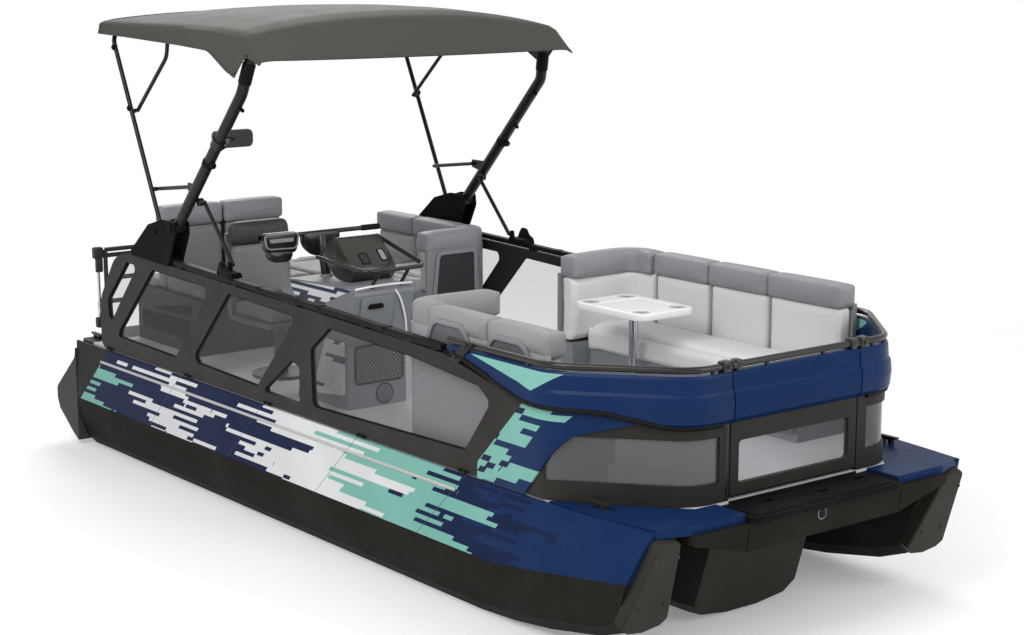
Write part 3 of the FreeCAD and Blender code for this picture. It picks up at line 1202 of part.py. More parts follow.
def console_top_at(x):
    """Height of the console's sloping top."""
    (fore_x, fore_z), (aft_x, aft_z) = console_profile()[5:7]
    return fore_z + (aft_z - fore_z) * (x - fore_x) / (aft_x - fore_x)


def console():
    outline = [(x, max(z, FLOOR + S.clearance)) for x, z in console_profile()]
    bends = [0, 0] + [S.console_bend] * 8 + [0]
    body = prism("console_body", "XZ_Plane", "Sizes.console_outer - Sizes.console_width",
                 "Sizes.console_width",
                 [rounded(outline, bends)])
    foot, up = steering_axis()
    boss = rod("steering_boss", foot - up * S.overrun, foot - up * S.clearance, "Sizes.boss_radius")
    keep("console", fused("console_set", [body, boss]))
    cover = []
    for u, v in HOOD_SHARES:
        x = HALF * u
        cover.append((x, S.hood_top * v if v else console_top_at(x) + S.clearance))
    hood = prism("dash_hood", "XZ_Plane", "Sizes.hood_outer - Sizes.hood_width", "Sizes.hood_width",
                 [rounded(cover, [0] + [S.hood_bend] * 4 + [0, 0])])
    keep("dash_hood", hood)


GUARD_FOOT_SHARES = (0.24, 0.72)


def guard_rail():
    """Tube rail round the hood, on two feet that stand on the console's front edge."""
    out, inner, front = -S.guard_outer, -S.guard_inner, S.guard_front
    level = S.guard_level
    path = [(front - S.guard_run, out, level + S.guard_rise), (front, out, level), (front, inner, level),
            (front - S.guard_run, inner, level + S.guard_climb)]
    rail = tube("guard_tube", path, S.guard_bend, "Sizes.guard_tube / 2")
    (edge_x, edge_z), (lip_x, lip_z) = console_profile()[4:6]
    feet = []
    for i, share in enumerate(GUARD_FOOT_SHARES):
        y = out + (inner - out) * share
        base = Vector((edge_x + lip_x) / 2, y, (edge_z + lip_z) / 2)
        head = Vector(front, y, level)
        feet.append(rod(f"guard_foot_{i}", base + (head - base).normalize() * S.guard_seat, head,
                        "Sizes.guard_foot"))
    keep("console_rail", fused("console_rail_set", [rail] + feet))


def handlebar():
    foot, up = steering_axis()
    x, y, z = -S.bar_x, -S.steer_y, S.bar_z
    stem = rod("steering_stem", foot, Vector(x, y, z), "Sizes.stem_radius")
    bar = rod("handle_tube", (x, y - S.bar_half, z), (x, y + S.bar_half, z), "Sizes.bar_tube / 2")
    grips = [rod("grip", (x, y + side * S.bar_half, z), (x, y + side * (S.bar_half - S.grip_length), z),
                 "Sizes.grip_tube / 2") for side in (-1, 1)]
    pad_body = prism("bar_pad", "XZ_Plane", "Sizes.steer_y - Sizes.pad_length / 2", "Sizes.pad_length",
                     [rounded([(x - S.pad_depth / 2, z - S.pad_height),
                               (x + S.pad_depth / 2, z - S.pad_height),
                               (x + S.pad_depth / 2, z + S.bar_tube), (x - S.pad_depth / 2,
                                                                       z + S.bar_tube)],
                              S.pad_depth / 4)])
    outer = y - S.bar_half
    pod = prism("control_pod", "YZ_Plane", "-Sizes.bar_x - Sizes.pod_depth / 2", "Sizes.pod_depth",
                [rounded([(outer, S.pod_low), (outer + S.pod_length, S.pod_low), (outer + S.pod_length, z),
                          (outer, z)], S.bar_tube / 2)])
    keep("handlebar", fused("handlebar_set", [stem, bar, pad_body, pod] + grips))


def helm():
    x, y = -S.helm_x, -S.helm_y
    foot = prism("helm_post", "XY_Plane", FLOOR_AT, "Sizes.helm_plate", [circle(x, y, S.helm_foot)])
    pad(foot, "XY_Plane", FLOOR_AT,
        "Sizes.helm_low - Sizes.deck_under - Sizes.deck_thick - 2 * Sizes.clearance",
        [circle(x, y, S.helm_post)])
    keep("helm_post", foot)
    low, top = S.helm_low, S.helm_low + S.helm_pan
    front, rear = -S.helm_front, -S.helm_rear
    lean = S.helm_recline
    profile = [(front, low), (front, top), (rear + lean, top), (rear, S.helm_shell_top),
               (rear - S.helm_shell, S.helm_shell_top), (rear, low)]
    start = "Sizes.helm_y - Sizes.helm_width / 2"
    bends = [S.helm_pan / 2, S.helm_pan / 2, 0, 0, 0, S.helm_pan]
    keep("helm_seat", prism("helm_seat", "XZ_Plane", start, "Sizes.helm_width", [rounded(profile, bends)]))
    gap = S.clearance
    soft = top + S.helm_cushion
    rise = (soft + gap - top) / (S.helm_shell_top - top)
    back_low = rear + lean * (1 - rise) + gap
    seat = [(rear + lean + gap, top + gap), (front, top + gap), (front, soft), (rear + lean + gap, soft)]
    pan = prism("helm_pad", "XZ_Plane", start, "Sizes.helm_width", [rounded(seat, [0, 0, S.helm_pan, 0])])
    back = [(back_low, soft + gap), (rear + gap, S.helm_shell_top + gap),
            (rear - S.helm_shell, S.helm_shell_top + gap),
            (rear - S.helm_shell, S.helm_top), (rear + S.helm_pan * 2,
                                                S.helm_top), (back_low + S.helm_back, soft + gap)]
    rest = prism("helm_rest", "XZ_Plane", start, "Sizes.helm_width",
                 [rounded(back, [0, 0, 0, S.helm_pan / 2, S.helm_pan, S.helm_pan])])
    group("helm_cushions", [pan, rest])


# Stern fittings
FIRST_TREAD_SHARE = 0.9


def ladder():
    """Boarding ladder, stowed upright at the edge of the swim platform."""
    x, y, z = -S.ladder_x, -S.ladder_y, S.ladder_z
    half = S.ladder_width / 2
    rails = [rod("ladder_rail", (x, y + side * half, z - S.ladder_tube / 2),
                 (x, y + side * half, z + S.ladder_height),
                 "Sizes.ladder_tube / 2") for side in (-1, 1)]
    treads = []
    for i in range(3):
        base = z + S.ladder_pitch * (i + FIRST_TREAD_SHARE)
        treads.append(block(f"ladder_tread_{i}", (x - S.ladder_step / 2, y - half, base),
                            (x + S.ladder_step / 2, y + half, base + S.ladder_tread / 2)))
    head = rod("ladder_head", (x, y - half, z + S.ladder_height), (x, y + half, z + S.ladder_height),
               "Sizes.ladder_tube / 2")
    keep("ladder", fused("ladder_set", rails + treads + [head]))


def ladder_lugs():
    """Ears on the platform's edge, between the rails of the ladder."""
    half = S.ladder_width / 2 - S.ladder_tube / 2 - S.clearance
    ears = []
    for side in (-1, 1):
        outer = -S.ladder_y + side * half
        inner = outer - side * S.ladder_lug
        low, high = sorted((outer, inner))
        ears.append(block("ladder_ear", (-S.ladder_x - S.ladder_lug, low, S.ladder_z - S.ladder_lug * 2),
                          (-S.platform_end + S.ladder_lug, high, S.ladder_z + S.ladder_lug / 2)))
    return ears


def jet_drive():
    """Pump in the centre hull's tunnel, and the nozzle that steers the boat."""
    stern = -S.center_stern
    pump = prism("jet_pump_body", "YZ_Plane", "-Sizes.center_stern", "Sizes.jet_length - Sizes.clearance",
                 [circle(0, S.jet_z, S.jet_radius)])
    outlet = rod("jet_outlet", (stern, 0, S.jet_z), (stern - S.jet_tail, 0, S.jet_z), "Sizes.jet_outlet")
    arms = []
    reach = -S.nozzle_x - S.arm_width / 2
    for i, base in enumerate((S.jet_z + S.nozzle_radius + S.clearance,
                              S.jet_z - S.nozzle_radius - S.clearance - S.arm_thick)):
        arms.append(block(f"jet_arm_{i}", (reach, -S.arm_width / 2, base),
                          (stern + S.arm_width, S.arm_width / 2, base + S.arm_thick)))
    solid = fused("jet_solid", [pump, outlet] + arms)
    bore = rod("jet_bore", (stern - S.jet_tail - S.overrun, 0, S.jet_z), (stern, 0, S.jet_z),
               "Sizes.jet_outlet - Sizes.nozzle_wall")
    hollow = doc.addObject("Part::Cut", "jet_hollow")
    hollow.Base = solid
    hollow.Tool = bore
    keep("jet_pump", hollow)
    ring = [circle(0, S.jet_z, S.nozzle_radius), circle(0, S.jet_z, S.nozzle_radius - S.nozzle_wall)]
    nozzle = prism("jet_nozzle", "YZ_Plane", "-Sizes.nozzle_front - Sizes.nozzle_length",
                   "Sizes.nozzle_length", ring)
    keep("jet_nozzle", nozzle)


# share of a cleat's half length and height round its side view
CLEAT_SHARES = ((-1, 0.78), (-1, 1), (1, 1), (1, 0.78), (0.55, 0.6), (0.55, 0), (0.25, 0), (0.25, 0.5),
                (-0.25, 0.5), (-0.25, 0), (-0.55, 0), (-0.55, 0.6))


def cleats():
    """Mooring cleats on the bow shoulders and at the deck's aft corners."""
    half = S.cleat_length / 2
    bow_level = S.deck_under + S.bow_corner_rise + 2 * S.clearance
    solids = []
    for i, (x, side, base) in enumerate(((S.cleat_x, "cleat_side", bow_level),
                                         (-S.stern_cleat_x, "stern_cleat_side", FLOOR + S.clearance))):
        outline = [(x + half * u, base + S.cleat_height * v) for u, v in CLEAT_SHARES]
        cleat = prism(f"cleat_{i}", "XZ_Plane", f"Sizes.{side} - Sizes.cleat_width / 2",
                      "Sizes.cleat_width",
                      [rounded(outline)])
        solids += side_pair(cleat)
    group("cleats", solids)


outer_hulls()
nose_plates()
stern_caps()
center_hull()
decks()
bow_platform()
bow_corners()
side_fences()
side_rails()
bow_wall()
quarter_panels()
bow_mouldings()
bow_rails()
gate_posts()
gate()
bimini()
gussets()
brace_feet()
canopy()
mirror()
bow_lounge()
bow_seat()
aft_lounge()
stern_bench()
table()
console()
guard_rail()
handlebar()
helm()
ladder()
jet_drive()
cleats()

doc.recompute()
os.makedirs("parts", exist_ok=True)
faults = [o.Name for o in doc.Objects if "Invalid" in o.State or "Error" in o.State]
for label, piece in pieces.items():
    if piece.Shape.isNull() or not piece.Shape.isValid() or not piece.Shape.Solids:
        faults.append(label)
if faults:
    raise RuntimeError(f"pieces that failed: {faults}")
for label, piece in pieces.items():
    piece.Shape.exportStep(f"parts/{label}.step")
print(len(pieces), "pieces")
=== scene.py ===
"""Visual model of an open triple-hull pontoon boat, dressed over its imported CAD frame."""

import logging
import math
from dataclasses import dataclass
from enum import Enum
from typing import Any, Callable, Iterable, Sequence

import bmesh
import bpy
from mathutils import Matrix, Vector
from mathutils.bvhtree import BVHTree


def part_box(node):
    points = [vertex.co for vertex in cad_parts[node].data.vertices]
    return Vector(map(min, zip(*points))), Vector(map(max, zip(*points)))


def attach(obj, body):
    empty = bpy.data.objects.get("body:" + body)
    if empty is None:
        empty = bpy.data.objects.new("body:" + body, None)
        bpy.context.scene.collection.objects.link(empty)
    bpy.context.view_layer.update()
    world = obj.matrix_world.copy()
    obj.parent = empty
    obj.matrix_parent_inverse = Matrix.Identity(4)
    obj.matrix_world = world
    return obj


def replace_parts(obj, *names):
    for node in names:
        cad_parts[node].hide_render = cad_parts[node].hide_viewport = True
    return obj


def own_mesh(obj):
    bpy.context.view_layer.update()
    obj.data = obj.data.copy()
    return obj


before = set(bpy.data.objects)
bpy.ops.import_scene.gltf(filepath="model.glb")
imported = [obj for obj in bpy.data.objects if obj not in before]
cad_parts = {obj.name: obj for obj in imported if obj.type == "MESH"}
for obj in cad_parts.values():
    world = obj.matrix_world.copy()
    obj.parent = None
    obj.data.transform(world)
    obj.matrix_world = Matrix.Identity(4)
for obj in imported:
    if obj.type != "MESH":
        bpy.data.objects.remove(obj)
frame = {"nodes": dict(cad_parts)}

LOG = logging.getLogger("pontoon_boat")
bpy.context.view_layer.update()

Point = tuple[float, float, float]
Colour = tuple[float, float, float]
Socket = bpy.types.NodeSocket


class Body(str, Enum):
    """The rigid bodies that pieces ride on."""

    BOAT = "boat"
    GATE = "gate"
    TOP = "sun_top_main"
    REAR = "sun_top_rear"
    BAR = "steering_bar"
    CHAIR = "helm_chair"


class Texture(Enum):
    """Fine surface structures that a finish can carry."""

    GRAIN = "grain"
    LEATHER = "leather"
    WEAVE = "weave"
    BRUSHED = "brushed"
    TREAD = "tread"
    NET = "net"


def shade(red: int, green: int, blue: int) -> Colour:
    """Linear colour of a screen colour.

    Args:
        red, green, blue: Channels from 0 to 255.

    Returns:
        The same colour as linear values from 0 to 1.
    """
    return tuple(
        c / 12.92 if c <= 0.04045 else ((c + 0.055) / 1.055) ** 2.4
        for c in (red / 255, green / 255, blue / 255)
    )


def added(name: str, data: Any) -> bpy.types.Object:
    """A new object in the scene that shows some data."""
    made = bpy.data.objects.new(name, data)
    bpy.context.scene.collection.objects.link(made)
    return made


def settled(carrier: bpy.types.Object) -> bpy.types.Object:
    """An object as its modifiers leave it."""
    return carrier.evaluated_get(bpy.context.evaluated_depsgraph_get())


def rect(first: tuple[float, float], second: tuple[float, float]) -> list[tuple[float, float]]:
    """Corners of a rectangle, round from its low corner.

    Args:
        first, second: Its ends on the two axes.

    Returns:
        The four corners.
    """
    return [(first[0], second[0]), (first[1], second[0]), (first[1], second[1]), (first[0], second[1])]


def flat(axis: int, level: float, points: Iterable[tuple[float, float]]) -> list[Point]:
    """Put a flat outline into space, square to an axis.

    Args:
        axis: X, Y or Z.
        level: Where it lies on that axis.
        points: The outline on the other two axes.

    Returns:
        Its points.
    """
    return [(*point[:axis], level, *point[axis:]) for point in points]


def verts_of(result: dict) -> list[bmesh.types.BMVert]:
    """The corners that a mesh operation gave back."""
    return [g for g in result["geom"] if isinstance(g, bmesh.types.BMVert)]


def aim(target: bpy.types.Object, place: Point, way: Vector) -> None:
    """Put a camera or lamp in its place and turn it to look one way."""
    target.location = place
    target.rotation_mode = "QUATERNION"
    target.rotation_quaternion = way.to_track_quat("-Z", "Y")


class Wiring:
    """Short calls for wiring one shader tree."""

    def __init__(self, tree: bpy.types.NodeTree) -> None:
        """Keep the tree that the nodes go into."""
        self.tree = tree

    def node(self, kind: str, **settings: Any) -> bpy.types.Node:
        """Add a node with its settings.

        Args:
            kind: Node type name.
            settings: Properties to set on it.

        Returns:
            The new node.
        """
        made = self.tree.nodes.new(kind)
        for name, value in settings.items():
            setattr(made, name, value)
        return made

    def feed(self, socket: Socket, value: Any) -> None:
        """Link a socket to another, or set its plain value.

        Args:
            socket: Input to fill.
            value: An output socket, or a value.
        """
        if isinstance(value, bpy.types.NodeSocket):
            self.tree.links.new(value, socket)
        elif value is not None:
            socket.default_value = value

    def math(self, operation: str, *terms: Any) -> Socket:
        """One Math node.

        Args:
            operation: Its operation.
            terms: Sockets or numbers.

        Returns:
            The result's socket.
        """
        made = self.node("ShaderNodeMath", operation=operation)
        for socket, term in zip(made.inputs, terms):
            self.feed(socket, term)
        return made.outputs[0]

    def times(self, first: Any, second: Any) -> Socket:
        """One value times another."""
        return self.math("MULTIPLY", first, second)

    def plus(self, first: Any, second: Any) -> Socket:
        """The sum of two values."""
        return self.math("ADD", first, second)

    def minus(self, first: Any, second: Any) -> Socket:
        """The difference of two values."""
        return self.math("SUBTRACT", first, second)

    def split(self, vector: Socket) -> tuple[Socket, Socket, Socket]:
        """The three parts of a vector."""
        made = self.node("ShaderNodeSeparateXYZ")
        self.feed(made.inputs[0], vector)
        return made.outputs[0], made.outputs[1], made.outputs[2]

    def joined(self, x: Any, y: Any, z: Any = 0.0) -> Socket:
        """A vector from three values."""
        made = self.node("ShaderNodeCombineXYZ")
        for socket, value in zip(made.inputs, (x, y, z)):
            self.feed(socket, value)
        return made.outputs[0]

    def stretched(self, vector: Socket, scale: Point) -> Socket:
        """A vector with its axes scaled."""
        made = self.node("ShaderNodeMapping")
        self.feed(made.inputs["Vector"], vector)
        self.feed(made.inputs["Scale"], scale)
        return made.outputs[0]

    def noise(self, vector: Socket, scale: Any, detail: float = 3.0) -> Socket:
        """Smooth noise from 0 to 1."""
        made = self.node("ShaderNodeTexNoise")
        self.feed(made.inputs["Vector"], vector)
        self.feed(made.inputs["Scale"], scale)
        made.inputs["Detail"].default_value = detail
        return made.outputs["Fac"]

    def cells(self, vector: Socket, scale: Any) -> Socket:
        """Distance to the nearest cell's middle."""
        made = self.node("ShaderNodeTexVoronoi")
        self.feed(made.inputs["Vector"], vector)
        self.feed(made.inputs["Scale"], scale)
        return made.outputs["Distance"]

    def chance(self, vector: Socket) -> Socket:
        """An even random value for each cell of a stepped vector."""
        made = self.node("ShaderNodeTexWhiteNoise", noise_dimensions="3D")
        self.feed(made.inputs["Vector"], vector)
        return made.outputs["Value"]

    def mix(self, factor: Any, first: Any, second: Any) -> Socket:
        """A colour between two colours."""
        made = self.node("ShaderNodeMix", data_type="RGBA")
        for index, value in ((0, factor), (6, first), (7, second)):
            if isinstance(value, tuple):
                value = (*value, 1.0)
            self.feed(made.inputs[index], value)
        return made.outputs[2]

    def ranged(self, value: Socket, low: float, high: float, to_low: float, to_high: float) -> Socket:
        """A value mapped from one range to another and clamped."""
        made = self.node("ShaderNodeMapRange")
        for socket, term in zip(made.inputs, (value, low, high, to_low, to_high)):
            self.feed(socket, term)
        return made.outputs[0]

    def bump(self, height: Socket, strength: Any, distance: float) -> Socket:
        """A normal bent by a height."""
        made = self.node("ShaderNodeBump")
        self.feed(made.inputs["Height"], height)
        self.feed(made.inputs["Strength"], strength)
        made.inputs["Distance"].default_value = distance
        return made.outputs["Normal"]


def shared_group(
    name: str, inputs: Sequence[tuple], outputs: Sequence[tuple], fill: Callable
) -> bpy.types.NodeTree:
    """A node group that several finishes place, made once.

    Args:
        name: Its name.
        inputs: Name, socket type and default of each input.
        outputs: Name and socket type of each output.
        fill: Wires the group from its inputs to its outputs.

    Returns:
        The group.
    """
    found = bpy.data.node_groups.get(name)
    if found:
        return found
    group = bpy.data.node_groups.new(name, "ShaderNodeTree")
    for label, kind, default in inputs:
        made = group.interface.new_socket(name=label, in_out="INPUT", socket_type=kind)
        if default is not None:
            made.default_value = default
    for label, kind in outputs:
        group.interface.new_socket(name=label, in_out="OUTPUT", socket_type=kind)
    entry = group.nodes.new("NodeGroupInput")
    leave = group.nodes.new("NodeGroupOutput")
    fill(Wiring(group), entry.outputs, leave.inputs)
    return group


X, Y, Z = range(3)
SHARP = math.radians(38)
GRAIN_DEPTH, TREAD_DEPTH = 0.0012, 0.003
FLOAT = "NodeSocketFloat"
VECTOR = "NodeSocketVector"


def texture_group(kind: Texture) -> bpy.types.NodeTree:
    """The group that gives a fine structure as a normal and a mask.

    Args:
        kind: Which structure.

    Returns:
        A group with inputs Vector, Scale and Depth and outputs Normal and Mask.
    """

    def fill(wire: Wiring, source: Any, target: Any) -> None:
        """Wire the height of the structure, then its normal and mask."""
        vector, scale, depth = source["Vector"], source["Scale"], source["Depth"]
        if kind is Texture.LEATHER:
            height = wire.times(wire.cells(vector, scale), 1.4)
            crease = wire.noise(vector, wire.times(scale, 0.12), 4.0)
            height = wire.plus(height, wire.times(crease, 0.5))
        elif kind is Texture.NET:
            x, y, z = wire.split(vector)
            level = wire.plus(x, y)
            pair = []
            for way in ("ADD", "SUBTRACT"):
                turned = wire.times(wire.times(wire.math(way, level, z), scale), math.pi * 2)
                pair.append(wire.math("ABSOLUTE", wire.math("SINE", turned)))
            height = wire.math("MINIMUM", *pair)
        elif kind is Texture.WEAVE:
            x, y, z = wire.split(vector)
            turn = math.pi * 2
            across = wire.math("SINE", wire.times(wire.times(wire.plus(x, z), scale), turn))
            along = wire.math("SINE", wire.times(wire.times(wire.minus(y, z), scale), turn))
            height = wire.plus(wire.times(wire.times(across, along), 0.5), 0.5)
        elif kind is Texture.BRUSHED:
            height = wire.noise(wire.stretched(vector, (1.0, 1.0, 0.04)), scale, 6.0)
        elif kind is Texture.TREAD:
            x, y, z = wire.split(vector)
            lines = wire.math("PINGPONG", wire.times(y, scale), 0.5)
            grit = wire.noise(vector, wire.times(scale, 22.0), 2.0)
            groove = wire.ranged(lines, 0.02, 0.07, 0.0, 1.0)
            height = wire.plus(groove, wire.times(grit, 0.3))
        else:
            fine = wire.noise(vector, scale, 5.0)
            height = wire.plus(fine, wire.times(wire.cells(vector, scale), 0.4))
        wire.feed(
            target["Normal"], wire.bump(height, depth, TREAD_DEPTH if kind is Texture.TREAD else GRAIN_DEPTH)
        )
        wire.feed(target["Mask"], wire.ranged(height, 0.1, 0.9, 0.0, 1.0))

    return shared_group(
        f"texture_{kind.value}",
        (("Vector", VECTOR, None), ("Scale", FLOAT, 200.0), ("Depth", FLOAT, 0.3)),
        (("Normal", VECTOR), ("Mask", FLOAT)),
        fill,
    )


def wear_group() -> bpy.types.NodeTree:
    """The group that gives a mask of scuffs and of dust that has dried on lower parts.

    Returns:
        A group with inputs Vector, Size and Top and the output Mask.
    """

    def fill(wire: Wiring, source: Any, target: Any) -> None:
        """Wire blotches that fade upwards, with fine scuffs over them."""
        vector = source["Vector"]
        height = wire.split(vector)[2]
        fade = wire.minus(1.0, wire.math("DIVIDE", height, source["Top"]))
        blotch = wire.ranged(wire.noise(vector, source["Size"], 5.0), 0.45, 0.72, 0.0, 1.0)
        scuff = wire.ranged(
            wire.noise(wire.stretched(vector, (0.25, 1.0, 3.0)), 34.0, 6.0), 0.6, 0.78, 0.0, 1.0
        )
        both = wire.plus(wire.times(blotch, 0.7), wire.times(scuff, 0.5))
        faded = wire.times(both, wire.math("MAXIMUM", fade, 0.15))
        wire.feed(target["Mask"], wire.math("MINIMUM", faded, 1.0))

    return shared_group(
        "wear",
        (("Vector", VECTOR, None), ("Size", FLOAT, 2.5), ("Top", FLOAT, 3.0)),
        (("Mask", FLOAT),),
        fill,
    )


def streak_group() -> bpy.types.NodeTree:
    """The group that breaks the edges of printed zones into rows of slanted dashes.

    Returns:
        A group with inputs Vector, Row, Slant, Reach and Seed and the output Place, which is
        the place along the boat that each row's colour is read at.
    """

    def fill(wire: Wiring, source: Any, target: Any) -> None:
        """Shift the place by a random step for each broad row, fine row and dash."""
        x, _, z = wire.split(source["Vector"])
        row = wire.math("FLOOR", wire.math("DIVIDE", z, source["Row"]))
        broad = wire.math("FLOOR", wire.math("DIVIDE", row, 3.0))
        along = wire.plus(x, wire.times(z, source["Slant"]))
        seed = source["Seed"]
        fine_step = wire.minus(wire.chance(wire.joined(row, seed, 1.0)), 0.5)
        broad_step = wire.minus(wire.chance(wire.joined(broad, seed, 2.0)), 0.5)
        dash = wire.math("FLOOR", wire.plus(wire.times(along, 2.7), wire.times(fine_step, 9.0)))
        dash_step = wire.minus(wire.chance(wire.joined(row, dash, seed)), 0.5)
        shift = wire.plus(wire.times(fine_step, 0.55), wire.times(broad_step, 0.95))
        shift = wire.plus(shift, wire.times(wire.math("POWER", wire.math("ABSOLUTE", dash_step), 2.0), 3.0))
        wire.feed(target["Place"], wire.plus(along, wire.times(shift, source["Reach"])))

    return shared_group(
        "streaks",
        (
            ("Vector", VECTOR, None), ("Row", FLOAT, 0.03), ("Slant", FLOAT, -0.8), ("Reach", FLOAT, 0.6),
            ("Seed", FLOAT, 3.0)
        ),
        (("Place", FLOAT),),
        fill,
    )


@dataclass(frozen=True)
class Finish:
    """A finish with one main colour, a fine structure and a little wear."""

    name: str
    colour: Colour
    roughness: float = 0.5
    texture: Texture = Texture.GRAIN
    scale: float = 240.0
    depth: float = 0.2
    variation: float = 0.12
    wear: float = 0.1
    wear_colour: Colour = (0.45, 0.44, 0.42)
    metallic: float = 0.0
    coat: float = 0.0
    sheen: float = 0.0
    gloss: float = 0.3
    alpha: float = 1.0

    def base(self, wire: Wiring, place: Socket, mask: Socket) -> Socket:
        """Colour over the surface before wear.

        Args:
            wire: The material's wiring.
            place: Object coordinates.
            mask: Mask of the fine structure.

        Returns:
            The colour's socket.
        """
        darker = tuple(c * (1 - self.variation * 2) for c in self.colour)
        broad = wire.noise(place, 1.7, 3.0)
        factor = wire.plus(wire.times(mask, 0.55), wire.times(broad, 0.45))
        return wire.mix(factor, darker, self.colour)

    def material(self) -> bpy.types.Material:
        """The Blender material, made once.

        Returns:
            The material.
        """
        found = bpy.data.materials.get(self.name)
        if found:
            return found
        made = bpy.data.materials.new(self.name)
        made.use_nodes = True
        wire = Wiring(made.node_tree)
        shader = made.node_tree.nodes["Principled BSDF"]
        place = wire.node("ShaderNodeTexCoord").outputs["Object"]
        fine = wire.node("ShaderNodeGroup", node_tree=texture_group(self.texture))
        wire.feed(fine.inputs["Vector"], place)
        fine.inputs["Scale"].default_value = self.scale
        fine.inputs["Depth"].default_value = self.depth
        worn = wire.node("ShaderNodeGroup", node_tree=wear_group())
        wire.feed(worn.inputs["Vector"], place)
        amount = wire.times(worn.outputs["Mask"], self.wear)
        colour = wire.mix(amount, self.base(wire, place, fine.outputs["Mask"]), self.wear_colour)
        wire.feed(shader.inputs["Base Color"], colour)
        uneven = wire.times(wire.noise(place, 7.0, 4.0), 0.16)
        rough = wire.plus(wire.plus(uneven, self.roughness - 0.08), wire.times(amount, 0.5))
        wire.feed(shader.inputs["Roughness"], rough)
        wire.feed(shader.inputs["Normal"], fine.outputs["Normal"])
        shader.inputs["Metallic"].default_value = self.metallic
        shader.inputs["Specular IOR Level"].default_value = self.gloss
        shader.inputs["Coat Weight"].default_value = self.coat
        shader.inputs["Coat Roughness"].default_value = 0.08
        shader.inputs["Sheen Weight"].default_value = self.sheen
        shader.inputs["Alpha"].default_value = self.alpha
        self.paint_hole_shade(wire, shader, fine.outputs["Mask"])
        return made

    def paint_hole_shade(self, wire: Wiring, shader: bpy.types.Node, mask: Socket) -> None:
        """Paint shade into the gaps of the finish's structure; a plain finish has none."""


@dataclass(frozen=True)
class Vinyl(Finish):
    """Grained seat vinyl."""

    texture: Texture = Texture.LEATHER
    scale: float = 420.0
    variation: float = 0.06
    wear: float = 0.05
    wear_colour: Colour = (0.3, 0.3, 0.3)
    sheen: float = 0.1


@dataclass(frozen=True)
class Shell(Finish):
    """Moulded plastic with a fine grain."""

    roughness: float = 0.46
    scale: float = 520.0
    depth: float = 0.22
    wear: float = 0.06


@dataclass(frozen=True)
class Glass(Finish):
    """Tinted clear plastic."""

    scale: float = 90.0
    depth: float = 0.01
    variation: float = 0.04
    wear: float = 0.03


@dataclass(frozen=True)
class Mesh(Finish):
    """A net or grille: strands, with painted shade in the gaps between them."""

    texture: Texture = Texture.NET

    def paint_hole_shade(self, wire: Wiring, shader: bpy.types.Node, mask: Socket) -> None:
        """Paint the gaps near black: painted shade of the space behind them."""
        # Near-black colour in the gaps is painted shade; nothing is cut open.
        colour = wire.mix(wire.math("GREATER_THAN", mask, 0.3), self.colour, (0.01, 0.01, 0.01))
        wire.feed(shader.inputs["Base Color"], colour)


@dataclass(frozen=True)
class Print(Finish):
    """A gloss finish with printed zones whose edges break into rows of dashes."""

    roughness: float = 0.3
    scale: float = 600.0
    depth: float = 0.04
    variation: float = 0.0
    wear: float = 0.015
    gloss: float = 0.1
    zones: tuple[tuple[float, Colour], ...] = ()
    span: tuple[float, float] = (-9.0, 9.0)
    row: float = 0.026
    slant: float = -0.9
    reach: float = 0.62
    seed: float = 3.0
    seams: bool = False
    floor: float = -10.0
    inner: float = 0.0
    wedge: bool = False
    wedge_line: tuple[float, float] = (1.775, 0.195)
    wedge_top: float = 1.432
    wedge_end: tuple[float, float] = (0.02, 1.7)
    seam_foot: float = 0.356
    seam_lean: float = 1.045
    seam_start: float = 2.845
    seam_step: float = 0.5175
    seam_half: float = 0.0028
    seam_end: float = 1.9

    def base(self, wire: Wiring, place: Socket, mask: Socket) -> Socket:
        """The printed zones, with panel joints where the finish has them."""
        streaks = wire.node("ShaderNodeGroup", node_tree=streak_group())
        wire.feed(streaks.inputs["Vector"], place)
        for label, value in (
            ("Row", self.row), ("Slant", self.slant), ("Reach", self.reach), ("Seed", self.seed)
        ):
            streaks.inputs[label].default_value = value
        low, high = self.span
        ramp = wire.node("ShaderNodeValToRGB")
        ramp.color_ramp.interpolation = "CONSTANT"
        points = ramp.color_ramp.elements
        while len(points) < len(self.zones):
            points.new(1.0)
        for point, (start, colour) in zip(points, self.zones):
            point.position = (start - low) / (high - low)
            point.color = (*colour, 1.0)
        wire.feed(ramp.inputs[0], wire.ranged(streaks.outputs["Place"], low, high, 0.0, 1.0))
        x, y, z = wire.split(place)
        printed = wire.mix(wire.math("GREATER_THAN", z, self.floor), self.colour, ramp.outputs[0])
        fleck = wire.ranged(wire.noise(place, 2.1, 2.0), 0.3, 0.7, 0.86, 1.0)
        printed = wire.mix(fleck, tuple(c * 0.5 for c in self.colour), printed)
        if self.wedge:
            above = wire.math(
                "GREATER_THAN", z, wire.minus(self.wedge_line[0], wire.times(x, self.wedge_line[1]))
            )
            below = wire.math("LESS_THAN", z, self.wedge_top)
            behind = wire.math(
                "LESS_THAN", wire.minus(x, wire.times(z, self.wedge_end[1])), self.wedge_end[0]
            )
            printed = wire.mix(wire.times(wire.times(above, below), behind), printed, TEAL)
        if not self.seams:
            return printed
        rise = wire.times(wire.minus(z, self.seam_foot), self.seam_lean)
        along = wire.plus(wire.minus(x, rise), self.seam_start)
        near = wire.math("PINGPONG", along, self.seam_step)
        joint = wire.math("LESS_THAN", near, self.seam_half)
        aft = wire.math("LESS_THAN", along, 0.003)
        bare = wire.math("GREATER_THAN", x, self.seam_end)
        joint = wire.times(joint, wire.minus(1.0, bare))
        lined = wire.mix(wire.times(joint, 0.8), printed, shade(70, 72, 76))
        hidden = wire.math("LESS_THAN", wire.math("ABSOLUTE", y), self.inner)
        return wire.mix(wire.math("MAXIMUM", aft, hidden), lined, shade(37, 36, 32))


NAVY = shade(17, 31, 66)
DEEP = shade(18, 44, 86)
PALE = shade(226, 227, 228)
TEAL = shade(128, 186, 174)
PLAIN = ((-9.0, DEEP), (-8.0, DEEP))


